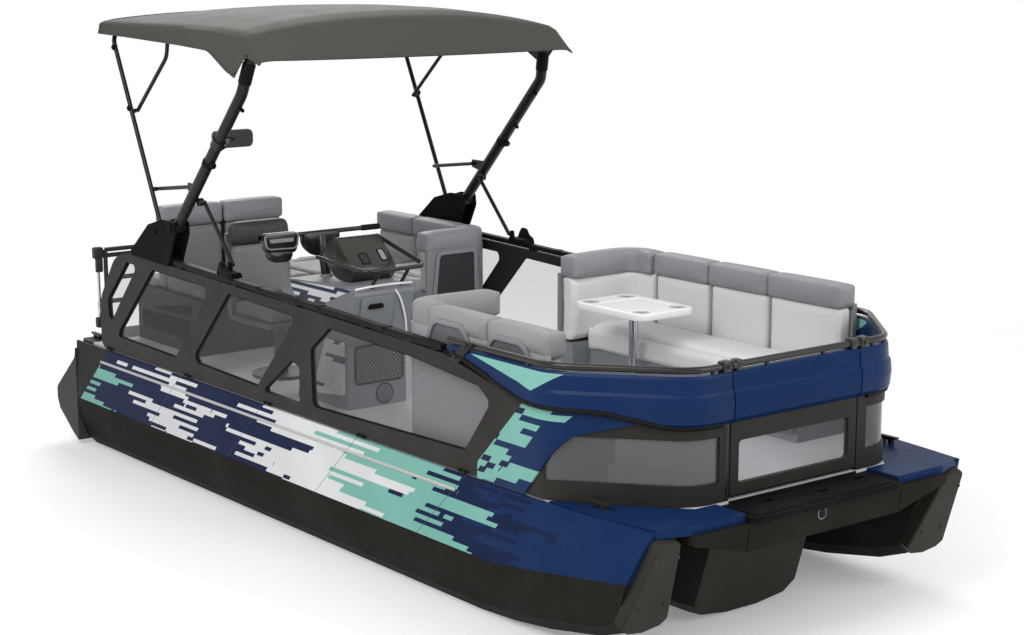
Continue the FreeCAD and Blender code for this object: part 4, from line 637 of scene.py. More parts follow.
class Palette:
    """Every finish on the boat."""

    hull = Finish("bronze_black_hull", shade(35, 34, 30), 0.55, scale=420, depth=0.12, wear=0.03, gloss=0.03)
    # Lighter copy of the hull's bronze-black for front faces that get little lamp light: painted light.
    nose = Finish("bronze_black_lit_nose", shade(48, 47, 42), 0.5, scale=420, depth=0.1, wear=0.03, gloss=0.1)
    frame = Finish("bronze_black_frame", shade(42, 40, 36), 0.5, scale=600, depth=0.2, wear=0.04, gloss=0.16)
    moulded = Finish("black_moulding", shade(20, 20, 19), 0.55, scale=500, depth=0.35, wear=0.03, gloss=0.1)
    gloss = Finish(
        "gloss_bronze_black", shade(32, 31, 28), 0.26, scale=300, depth=0.04, wear=0.03, coat=0.12, gloss=0.35
    )
    near_black = Finish(
        "near_black_moulding", shade(18, 18, 17), 0.62, scale=500, depth=0.2, variation=0.06, wear=0.02,
        gloss=0.04
    )
    rail = Finish(
        "satin_black_rail", shade(22, 21, 20), 0.5, scale=500, depth=0.04, variation=0.05, wear=0.02,
        gloss=0.1
    )
    tube = Finish("satin_black_tube", shade(24, 23, 21), 0.36, scale=500, depth=0.06, wear=0.03, gloss=0.3)
    tread = Finish("non_slip_black", shade(16, 16, 17), 0.72, Texture.TREAD, 26.0, 0.6, wear=0.04, gloss=0.08)
    deck = Finish(
        "pale_grey_deck", shade(200, 202, 205), 0.6, Texture.TREAD, 12.0, 0.35, 0.05, 0.08, (0.3, 0.3, 0.3)
    )
    face = Vinyl("pale_grey_vinyl", shade(220, 221, 219), variation=0.05, wear=0.04)
    seat_grey = Vinyl("light_grey_vinyl", shade(144, 146, 146), variation=0.05, wear=0.04)
    head = Vinyl("mid_grey_vinyl", shade(142, 144, 149), 0.48)
    shaded = Vinyl("shaded_grey_vinyl", shade(122, 124, 124))
    soft_grey = Vinyl("soft_grey_vinyl", shade(168, 170, 171))
    dark_vinyl = Vinyl("dark_grey_vinyl", shade(58, 59, 61), 0.45, depth=0.25, variation=0.08)
    shell = Shell("grey_shell", shade(140, 142, 146))
    shell_pale = Shell("pale_grey_shell", shade(172, 174, 178))
    shell_dark = Shell("dark_grey_shell", shade(104, 106, 110))
    shell_deep = Shell(
        "charcoal_shell", shade(56, 57, 60), 0.55, depth=0.05, variation=0.04, wear=0.02, gloss=0.1
    )
    console = Shell("console_grey", shade(134, 137, 142), 0.4, depth=0.16, wear=0.05)
    hood = Finish(
        "gloss_graphite", shade(52, 49, 44), 0.24, scale=700, depth=0.05, wear=0.03, coat=0.15, gloss=0.4
    )
    rubber = Finish("black_rubber", shade(22, 22, 22), 0.7, scale=300, depth=0.4, wear=0.08, gloss=0.15)
    seal = Finish("black_seal", shade(14, 14, 14), 0.6, scale=300, depth=0.3, wear=0.03, gloss=0.12)
    shade_black = Finish(
        "shadow_black", shade(6, 6, 6), 0.8, scale=300, depth=0.04, variation=0.03, wear=0.01, gloss=0.02
    )
    cloth = Finish(
        "charcoal_cloth", shade(82, 81, 76), 0.62, Texture.WEAVE, 330.0, 0.2, 0.08, 0.03, gloss=0.12
    )
    chrome = Finish(
        "polished_metal", shade(214, 216, 220), 0.16, Texture.BRUSHED, 90.0, 0.05, 0.05, 0.03, metallic=1.0
    )
    alloy = Finish("cast_alloy", shade(160, 162, 165), 0.45, scale=160, depth=0.35, wear=0.12, metallic=0.9)
    mill = Finish(
        "mill_alloy", shade(132, 134, 138), 0.5, Texture.BRUSHED, 60.0, 0.2, wear=0.15, metallic=0.8
    )
    white = Finish(
        "white_moulding", shade(246, 247, 249), 0.3, scale=300, depth=0.06, variation=0.02, wear=0.02
    )
    cup = Finish("grey_cup", shade(176, 178, 182), 0.4, scale=300, depth=0.1, variation=0.04, wear=0.03)
    strip = Finish(
        "pale_rub_strip", shade(190, 190, 187), 0.4, scale=300, depth=0.1, variation=0.05, wear=0.1
    )
    glass = Glass("smoke_glass", shade(84, 86, 88), 0.1, alpha=0.2)
    gate_glass = Glass("clear_glass", shade(120, 122, 124), 0.08, alpha=0.1)
    bow_glass = Glass("dark_smoke_glass", shade(88, 89, 90), 0.12, gloss=0.4, alpha=0.68)
    net = Mesh("net", shade(128, 130, 132), 0.6, scale=20, depth=0.6)
    grille = Mesh("speaker_grille", shade(150, 153, 158), 0.5, scale=40, depth=0.5)
    topside = Print(
        "printed_topside", DEEP, 0.4, depth=0.05, gloss=0.05, seams=True, inner=1.0, span=(-3.6, 3.6),
        zones=(
            (-3.6, TEAL), (-2.95, NAVY), (-2.05, PALE), (-1.55, NAVY),
            (-0.62, PALE), (0.42, TEAL), (1.22, NAVY), (1.75, DEEP),
        ),
    )
    quarter = Print(
        "printed_quarter", DEEP, row=0.034, reach=0.3, seed=8.0, span=(0.0, 3.0),
        zones=((0.0, TEAL), (1.02, NAVY), (1.1, TEAL), (1.36, DEEP)),
    )
    moulding = Print("printed_moulding", DEEP, row=0.05, reach=0.12, seed=5.0, zones=PLAIN, wedge=True)
    paint = Print("deep_blue_paint", DEEP, 0.34, gloss=0.05, zones=PLAIN)
    stripes = Print(
        "printed_console", PALE, 0.38, depth=0.06, wear=0.03, gloss=0.3, row=0.022, reach=1.6, seed=11.0,
        span=(-4.0, 3.0), zones=((-4.0, NAVY), (-1.35, PALE), (-0.85, NAVY), (-0.62, PALE)),
    )


class Workpiece:
    """One piece in the making: whole shapes are added, then it becomes an object."""

    def __init__(self) -> None:
        """Start with nothing."""
        self.bm = bmesh.new()

    def take(self, part: bmesh.types.BMesh) -> "Workpiece":
        """Add a finished shape.

        Args:
            part: The shape, which is freed.

        Returns:
            This piece.
        """
        carrier = bpy.data.meshes.new("carrier")
        part.to_mesh(carrier)
        part.free()
        self.bm.from_mesh(carrier)
        bpy.data.meshes.remove(carrier)
        return self

    def block(self, low: Point, high: Point, edge: float = 0.004) -> "Workpiece":
        """Add a block with rounded edges.

        Args:
            low, high: Its corners.
            edge: Radius of its edges.

        Returns:
            This piece.
        """
        part = bmesh.new()
        low_corner, high_corner = Vector(low), Vector(high)
        size = high_corner - low_corner
        place = Matrix.Translation((low_corner + high_corner) / 2) @ Matrix.Diagonal((*size, 1.0))
        bmesh.ops.create_cube(part, size=1.0, matrix=place)
        soften(part, min(edge, min(size) * 0.45))
        return self.take(part)

    def rod(
        self, start: Point, end: Point, radius: float, tip: float | None = None, sides: int = 20,
        edge: float = 0.0
    ) -> "Workpiece":
        """Add a round bar, or a cone where the tip differs.

        Args:
            start, end: Middles of its ends.
            radius: Radius at the start.
            tip: Radius at the end.
            sides: How many sides it has.
            edge: Radius of its rims.

        Returns:
            This piece.
        """
        part = bmesh.new()
        first, second = Vector(start), Vector(end)
        way = second - first
        turn = way.to_track_quat("Z", "Y").to_matrix().to_4x4()
        bmesh.ops.create_cone(
            part, cap_ends=True, segments=sides, radius1=radius, radius2=radius if tip is None else tip,
            depth=way.length, matrix=Matrix.Translation((first + second) / 2) @ turn,
        )
        if edge:
            soften(part, edge, 60)
        return self.take(part)

    def panel(
        self, corners: Sequence[Point], push: Point, radius: float = 0.0, edge: float = 0.0, hole: float = 0.0
    ) -> "Workpiece":
        """Add a plate from an outline, or a frame where a hole's border is given.

        Args:
            corners: Outline, on one plane.
            push: How far and which way it is thick.
            radius: Radius of its corners.
            edge: Radius of its edges.
            hole: Width of the frame left round a hole, or 0.

        Returns:
            This piece.
        """
        part = outline_face(corners, radius)
        if hole:
            faces = part.faces[:]
            bmesh.ops.inset_region(part, faces=faces, thickness=hole, use_even_offset=True, use_boundary=True)
            bmesh.ops.delete(part, geom=faces, context="FACES_ONLY")
        pushed = bmesh.ops.extrude_face_region(part, geom=part.faces[:])
        bmesh.ops.translate(part, vec=Vector(push), verts=verts_of(pushed))
        bmesh.ops.recalc_face_normals(part, faces=part.faces[:])
        if edge:
            soften(part, edge)
        return self.take(part)

    def bolt(self, at: Point, out: Point, radius: float = 0.008, sides: int = 6) -> "Workpiece":
        """Add a bolt head with its washer.

        Args:
            at: Where it meets the surface.
            out: Which way the head points.
            radius: The head's radius.
            sides: Sides of the head.

        Returns:
            This piece.
        """
        foot = Vector(at)
        way = Vector(out).normalized()
        self.rod(foot - way * 0.001, foot + way * radius * 0.25, radius * 1.5, sides=16)
        return self.rod(foot, foot + way * radius * 0.85, radius, radius * 0.85, sides)

    def pipe(self, points: Sequence[Point], radius: float, sides: int = 3) -> "Workpiece":
        """Add a tube along a smooth path.

        Args:
            points: Control points of the path.
            radius: The tube's radius.
            sides: Resolution of its section.

        Returns:
            This piece.
        """
        curve = bpy.data.curves.new("path", "CURVE")
        curve.dimensions = "3D"
        curve.bevel_depth = radius
        curve.bevel_resolution = sides
        curve.use_fill_caps = True
        curve.resolution_u = 6
        spline = curve.splines.new("NURBS")
        spline.points.add(len(points) - 1)
        for point, place in zip(spline.points, points):
            point.co = (*place, 1.0)
        spline.order_u = 3
        spline.use_endpoint_u = True
        carrier = added("path", curve)
        mesh = bpy.data.meshes.new_from_object(settled(carrier))
        bpy.data.objects.remove(carrier)
        self.bm.from_mesh(mesh)
        bpy.data.meshes.remove(mesh)
        return self

    def mirrored(self) -> "Workpiece":
        """Add the same shapes on the boat's other side."""
        made = bmesh.ops.duplicate(self.bm, geom=self.bm.verts[:] + self.bm.edges[:] + self.bm.faces[:])
        faces = [g for g in made["geom"] if isinstance(g, bmesh.types.BMFace)]
        bmesh.ops.scale(self.bm, vec=(1.0, -1.0, 1.0), verts=verts_of(made))
        bmesh.ops.reverse_faces(self.bm, faces=faces)
        return self

    def done(self, name: str, finish: Finish, slot: str = "", body: Body = Body.BOAT) -> bpy.types.Object:
        """Turn it into a finished object that rides on a body.

        Args:
            name: The piece's name.
            finish: Its finish.
            slot: Not used; the record's material slot.
            body: The body that it moves with.

        Returns:
            The object.
        """
        mesh = bpy.data.meshes.new(name)
        self.bm.to_mesh(mesh)
        self.bm.free()
        return finish_object(name, mesh, finish, body)


def outline_face(corners: Sequence[Point], radius: float) -> bmesh.types.BMesh:
    """One face with rounded corners.

    Args:
        corners: Its outline.
        radius: Radius of its corners.

    Returns:
        A mesh with that face.
    """
    part = bmesh.new()
    verts = [part.verts.new(c) for c in corners]
    part.faces.new(verts)
    if radius:
        bmesh.ops.bevel(
            part, geom=verts, offset=radius, offset_type="OFFSET", affect="VERTICES", segments=5, profile=0.5,
            material=-1
        )
    return part


def soften(part: bmesh.types.BMesh, radius: float, angle: float = 35.0) -> None:
    """Round every edge that turns by more than an angle.

    Args:
        part: The mesh.
        radius: Radius of the round.
        angle: Least turn, in degrees.
    """
    least = math.radians(angle)
    edges = [e for e in part.edges if len(e.link_faces) == 2 and e.calc_face_angle(0.0) > least]
    if edges and radius > 0:
        bmesh.ops.bevel(
            part, geom=edges, offset=radius, affect="EDGES", segments=2, profile=0.5, clamp_overlap=True,
            material=-1
        )


def finish_object(name: str, mesh: bpy.types.Mesh, finish: Finish, body: Body) -> bpy.types.Object:
    """An object from a finished mesh, shaded, dressed and riding on its body.

    Args:
        name: The piece's name.
        mesh: Its mesh, in place.
        finish: Its finish.
        body: The body that it moves with.

    Returns:
        The object.
    """
    mesh.shade_smooth()
    mesh.set_sharp_from_angle(angle=SHARP)
    mesh.materials.clear()
    mesh.materials.append(finish.material())
    made = added(name, mesh)
    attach(made, body.value)
    LOG.info("%s rides on %s", name, body.value)
    return made


class Skin:
    """The surface of a CAD node, for setting details on it."""

    def __init__(self, node: str) -> None:
        """Read the node's surface."""
        mesh = frame["nodes"][node].data
        self.tree = BVHTree.FromPolygons([v.co for v in mesh.vertices], [p.vertices for p in mesh.polygons])

    def met(self, start: Point, way: Point) -> Vector:
        """Where a line first meets the surface.

        Args:
            start: Where it starts.
            way: Its direction.

        Returns:
            The point, or the start if it misses.
        """
        found = self.tree.ray_cast(Vector(start), Vector(way).normalized())[0]
        return found if found is not None else Vector(start)


def paint(rows: Sequence[tuple[Finish, str]]) -> None:
    """Give CAD nodes their finishes.

    Args:
        rows: Each finish and the names of its nodes.
    """
    for finish, nodes in rows:
        for node in nodes.split():
            data = frame["nodes"][node].data
            data.materials.clear()
            data.materials.append(finish.material())


@dataclass
class Studio:
    """Camera, floor and lights."""

    place: Point = (9.623, -7.096, 3.482)
    azimuth: float = 51.803
    elevation: float = 10.877
    lens: float = 67.79
    shift: tuple[float, float] = (-0.0012, 0.0054)

    def build(self) -> None:
        """Set up the picture."""
        scene = bpy.context.scene
        scene.view_settings.view_transform = "Standard"
        data = bpy.data.cameras.new("camera")
        data.lens = self.lens
        data.sensor_width = 36.0
        data.shift_x, data.shift_y = self.shift
        data.clip_end = 200.0
        turn, rise = math.radians(self.azimuth), math.radians(self.elevation)
        back = Vector((math.sin(turn) * math.cos(rise), -math.cos(turn) * math.cos(rise), math.sin(rise)))
        scene.camera = added("camera", data)
        aim(scene.camera, self.place, -back)
        self.light("key", (3.5, -7.5, 7.5), 5.0, 520.0)
        self.light("fill", (9.0, 3.0, 5.0), 6.0, 300.0)
        self.light("rim", (-8.0, 3.5, 7.0), 5.0, 380.0)
        self.sky()
        self.floor()

    def light(self, name: str, place: Point, size: float, power: float) -> None:
        """Add a soft square lamp aimed at the boat.

        Args:
            name: Its name.
            place: Where it hangs.
            size: Its side.
            power: Its power in watts.
        """
        data = bpy.data.lights.new(name, "AREA")
        data.size = size
        data.energy = power
        aim(added(name, data), place, Vector((0, 0, 1.0)) - Vector(place))

    def sky(self) -> None:
        """Even soft light all round, and white behind the boat and in what it mirrors."""
        world = bpy.data.worlds.new("studio")
        bpy.context.scene.world = world
        world.use_nodes = True
        wire = Wiring(world.node_tree)
        backdrop = world.node_tree.nodes["Background"]
        path = wire.node("ShaderNodeLightPath")
        seen = wire.math("MAXIMUM", path.outputs["Is Camera Ray"], path.outputs["Is Transmission Ray"])
        mirrored = wire.times(path.outputs["Is Glossy Ray"], 0.5)
        factor = wire.math("MAXIMUM", seen, mirrored)
        wire.feed(backdrop.inputs["Strength"], wire.plus(wire.times(factor, 0.45), 0.55))
        backdrop.inputs["Color"].default_value = (1.0, 1.0, 1.0, 1.0)

    def floor(self) -> None:
        """A pale floor that keeps the boat's shadow."""
        work = bmesh.new()
        bmesh.ops.create_grid(work, x_segments=1, y_segments=1, size=60.0)
        mesh = bpy.data.meshes.new("floor")
        work.to_mesh(mesh)
        work.free()
        made = bpy.data.materials.new("pale_floor")
        made.use_nodes = True
        wire = Wiring(made.node_tree)
        shader = made.node_tree.nodes["Principled BSDF"]
        place = wire.node("ShaderNodeTexCoord").outputs["Object"]
        wire.feed(
            shader.inputs["Base Color"],
            wire.mix(wire.noise(place, 0.4, 2.0), (0.86, 0.86, 0.86), (0.88, 0.88, 0.88))
        )
        shader.inputs["Roughness"].default_value = 0.9
        path = wire.node("ShaderNodeLightPath")
        seen = wire.math("MAXIMUM", path.outputs["Is Camera Ray"], path.outputs["Is Glossy Ray"])
        shader.inputs["Emission Color"].default_value = (1.0, 1.0, 1.0, 1.0)
        wire.feed(shader.inputs["Emission Strength"], wire.times(seen, 0.22))
        plain = wire.node("ShaderNodeEmission")
        wire.feed(plain.inputs["Strength"], wire.plus(wire.times(seen, 0.45), 0.55))
        length = wire.node("ShaderNodeVectorMath", operation="LENGTH")
        wire.feed(length.inputs[0], place)
        blend = wire.node("ShaderNodeMixShader")
        wire.feed(blend.inputs[0], wire.ranged(length.outputs["Value"], 4.2, 8.5, 0.0, 1.0))
        wire.feed(blend.inputs[1], shader.outputs[0])
        wire.feed(blend.inputs[2], plain.outputs[0])
        wire.feed(made.node_tree.nodes["Material Output"].inputs["Surface"], blend.outputs[0])
        mesh.materials.append(made)
        ground = added("floor", mesh)


@dataclass
class Cushion:
    """One stuffed cushion, given by an outline and the way that it is thick."""

    corners: tuple[Point, ...]
    push: Point
    radius: float = 0.02


def plan(points: Iterable[tuple[float, float]], low: float, high: float, radius: float = 0.02) -> Cushion:
    """A cushion from its outline seen from above.

    Args:
        points: Outline in x and y.
        low, high: Its bottom and top.
        radius: Radius of its upright edges.

    Returns:
        The cushion.
    """
    return Cushion(tuple((x, y, low) for x, y in points), (0.0, 0.0, high - low), radius)


class Upholsterer:
    """Makes stuffed cushions from plain outlines."""

    voxel = 0.012
    shrink = 0.004
    rise = 0.012

    def block(self, cushion: Cushion) -> bpy.types.Mesh:
        """The unstuffed form, remeshed into even squares.

        Args:
            cushion: What to make.

        Returns:
            Its mesh.
        """
        form = Workpiece().panel(cushion.corners, cushion.push, cushion.radius, 0.02)
        middle = sum((v.co for v in form.bm.verts), Vector()) / len(form.bm.verts)
        for vert in form.bm.verts:
            away = vert.co - middle
            vert.co -= Vector([math.copysign(min(self.shrink, abs(c)), c) for c in away])
        mesh = bpy.data.meshes.new("form")
        form.bm.to_mesh(mesh)
        form.bm.free()
        carrier = added("form", mesh)
        even = carrier.modifiers.new("even", "REMESH")
        even.mode = "VOXEL"
        even.voxel_size = self.voxel
        made = bpy.data.meshes.new_from_object(settled(carrier))
        bpy.data.objects.remove(carrier)
        return made

    def stuff(self, carrier: bpy.types.Object) -> None:
        """Swell the cover from inside with a short cloth simulation, held near its form.

        Args:
            carrier: The object, whose mesh is changed.
        """
        rest = [v.co.copy() for v in carrier.data.vertices]
        cover = carrier.modifiers.new("cover", "CLOTH")
        cover.settings.use_pressure = True
        cover.settings.uniform_pressure_force = 4.0
        cover.settings.effector_weights.gravity = 0.0
        cover.settings.quality = 4
        cover.settings.tension_stiffness = 25.0
        cover.settings.bending_stiffness = 1.5
        cover.collision_settings.use_collision = False
        scene = bpy.context.scene
        for step in range(1, 15):
            scene.frame_set(step)
        swollen = settled(carrier).data
        for vert, start, end in zip(carrier.data.vertices, rest, [v.co.copy() for v in swollen.vertices]):
            way = end - start
            vert.co = start + way * min(1.0, self.rise / max(way.length, 1e-6))
        carrier.modifiers.remove(cover)
        scene.frame_set(1)

    def make(
        self, name: str, cushions: Sequence[Cushion], finish: Finish, body: Body, nodes: Sequence[str]
    ) -> bpy.types.Object:
        """One piece from several cushions in the same cover.

        Args:
            name: The piece's name.
            cushions: What it is made of.
            finish: The cover's finish.
            body: The body that it moves with.
            nodes: CAD nodes that it stands for.

        Returns:
            The object.
        """
        joined = Workpiece()
        for cushion in cushions:
            part = self.block(cushion)
            joined.bm.from_mesh(part)
            bpy.data.meshes.remove(part)
        mesh = bpy.data.meshes.new(name)
        joined.bm.to_mesh(mesh)
        joined.bm.free()
        carrier = added("carrier", mesh)
        self.stuff(carrier)
        bpy.data.objects.remove(carrier)
        settle = bmesh.new()
        settle.from_mesh(mesh)
        for _ in range(2):
            bmesh.ops.smooth_vert(
                settle, verts=settle.verts, factor=0.5, use_axis_x=True, use_axis_y=True, use_axis_z=True
            )
        settle.to_mesh(mesh)
        settle.free()
        made = finish_object(name, mesh, finish, body)
        mesh.set_sharp_from_angle(angle=math.radians(180))
        if nodes:
            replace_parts(made, *nodes)
        return made


@dataclass
class Bench:
    """A seat along one side with a return at one end, in a moulded shell."""

    name: str
    side: int
    outer: float
    turn: float
    end: float
    back: float
    seat: float
    level: float
    top: float
    seams: tuple[float, ...]
    outline: tuple[tuple[float, float], ...]
    bend: float = 0.14

    def section(self, start: float, stop: float, near: float, far: float, low: float, high: float) -> Cushion:
        """A straight length of back cushion.

        Args:
            start, stop: Where it runs from and to along the boat.
            near, far: Its depth from the outer side.
            low, high: Its bottom and top.

        Returns:
            The cushion.
        """
        ends = sorted((start, stop))
        y_near, y_far = self.side * (self.outer - near), self.side * (self.outer - far)
        return plan(rect((ends[0], ends[1]), (y_near, y_far)), low, high, 0.012)

    def corner(self, stop: float, near: float, far: float, low: float, high: float) -> Cushion:
        """The back cushion that turns the corner to the return.

        Args:
            stop: Where it meets the straight backs.
            near, far: Its depth from the outer sides.
            low, high: Its bottom and top.

        Returns:
            The cushion.
        """
        way = 1 if stop > self.turn else -1
        x_near, x_far = self.turn + way * near, self.turn + way * far
        y_near, y_far = self.side * (self.outer - near), self.side * (self.outer - far)
        end = self.side * self.back
        points = [(stop, y_near)]
        bend = self.bend - near
        for i in range(6):
            turn = math.radians(90 - i * 18)
            points.append(
                (x_near + way * bend * (1 - math.cos(turn)), y_near - self.side * bend * (1 - math.sin(turn)))
            )
        points += [(x_near, end), (x_far, end)]
        inner = max(self.bend - far, 0.03)
        for i in range(4):
            turn = math.radians(i * 30)
            points.append(
                (x_far + way * inner * (1 - math.cos(turn)), y_far - self.side * inner * (1 - math.sin(turn)))
            )
        points.append((stop, y_far))
        return plan(points, low, high, 0.012)

    def build(self, shop: Upholsterer, faces: Finish, heads: Finish, node: str) -> None:
        """Make the seat, the back cushions and the head rolls.

        Args:
            shop: Makes the cushions.
            faces, heads: Their finishes.
            node: The CAD node that they stand for.
        """
        split = self.top - 0.14
        ends = (*self.seams, self.end)
        backs = [self.corner(self.seams[0], 0.0305, 0.12, self.level - 0.105, split + 0.014)]
        rolls = [self.corner(self.seams[0], 0.001, 0.145, split, self.top)]
        for start, stop in zip(ends, ends[1:]):
            backs.append(self.section(start, stop, 0.0305, 0.12, self.level - 0.105, split + 0.014))
            rolls.append(self.section(start, stop, 0.001, 0.145, split, self.top))
        seats = [plan(self.outline, self.level - 0.105, self.level, 0.03)]
        front = min(y * self.side for _, y in self.outline) * self.side
        low, high = min(x for x, _ in self.outline), max(x for x, _ in self.outline)
        seats.append(
            plan(
                rect((low, high), (front - self.side * 0.02, front + self.side * 0.03)), self.level - 0.165,
                self.level - 0.006, 0.02
            )
        )
        shop.make(f"{self.name}_backs", seats + backs, faces, Body.BOAT, [node])
        shop.make(f"{self.name}_heads", rolls, heads, Body.BOAT, [])


class Seating:
    """All seats."""

    def build(self) -> None:
        """Make every cushion on the boat."""
        shop = Upholsterer()
        Bench(
            "bow_lounge", 1, 1.105, 0.48, 2.36, 0.45, 0.595, 1.2, 1.638, (0.79, 1.28, 1.78),
            ((0.601, 0.596), (2.36, 0.596), (2.36, 0.984), (0.601, 0.984)), 0.25,
        ).build(shop, Palette.face, Palette.head, "bow_lounge_cushions")
        Bench(
            "bow_seat", -1, 1.105, 1.0, 2.28, 0.5, 0.64, 1.2, 1.602, (1.25, 1.77),
            ((1.121, -0.641), (2.28, -0.641), (2.28, -0.984), (1.121, -0.984)),
        ).build(shop, Palette.seat_grey, Palette.seat_grey, "bow_seat_cushions")
        Bench(
            "aft_lounge", 1, 1.105, -1.05, -2.29, 0.55, 0.6, 1.27, 1.582, (-1.3, -1.82),
            ((-1.171, 0.601), (-1.739, 0.601), (-1.739, 0.984), (-1.171, 0.984)),
        ).build(shop, Palette.soft_grey, Palette.head, "aft_lounge_cushions")
        self.stern(shop)
        self.chair(shop)

    def stern(self, shop: Upholsterer) -> None:
        """Stern bench, its tall back and the sun pad.

        Args:
            shop: Makes the cushions.
        """
        seats = [
            plan(rect((-2.289, -1.74), (-0.82, 0.08)), 1.165, 1.27, 0.03),
            plan(rect((-2.289, -1.74), (0.08, 0.984)), 1.165, 1.27, 0.03),
            plan(rect((-2.41, -2.29), (0.172, 1.105)), 1.165, 1.27, 0.02),
        ]
        for low, high in ((-0.82, -0.18), (-0.18, 0.46), (0.46, 1.105)):
            seats.append(plan(rect((-2.68, -2.411), (low, high)), 1.165, 1.225, 0.012))
        rolls = []
        for low, high in ((-0.82, -0.325), (-0.325, 0.17)):
            seats.append(plan(rect((-2.41, -2.29), (low, high)), 1.165, 1.616, 0.02))
            rolls.append(plan(rect((-2.412, -2.282), (low, high)), 1.6, 1.755, 0.03))
        shop.make("stern_bench_backs", seats, Palette.shaded, Body.BOAT, ["stern_bench_cushions"])
        shop.make("stern_bench_heads", rolls, Palette.head, Body.BOAT, [])
        # A black block inside the backs fills the gaps between the cushions: painted shade in the crevices.
        gap_shade = Workpiece().block((-2.385, -0.79, 1.25), (-2.315, 0.14, 1.7), 0.004)
        gap_shade.done("stern_back_gap_shade", Palette.seal, "seat_plastic")

    def chair(self, shop: Upholsterer) -> None:
        """The helm chair's pan, back and head roll.

        Args:
            shop: Makes the cushions.
        """
        side, width = -0.899, 0.438
        far = side + width
        pan = ((-1.21, side, 1.166), (-0.74, side, 1.166), (-0.74, side, 1.253), (-1.21, side, 1.253))
        back = ((-1.13, side, 1.262), (-1.13, far, 1.262), (-1.169, far, 1.634), (-1.169, side, 1.634))
        band = ((-1.172, side, 1.622), (-1.172, far, 1.622), (-1.19, far, 1.776), (-1.19, side, 1.776))
        cushions = [Cushion(pan, (0.0, width, 0.0)), Cushion(back, (-0.09, 0.0, -0.0095), 0.04)]
        shop.make("helm_pan_and_back", cushions, Palette.shaded, Body.CHAIR, ["helm_cushions"])
        shop.make(
            "helm_head_roll", [Cushion(band, (-0.095, 0.0, -0.011), 0.05)], Palette.dark_vinyl, Body.CHAIR, []
        )


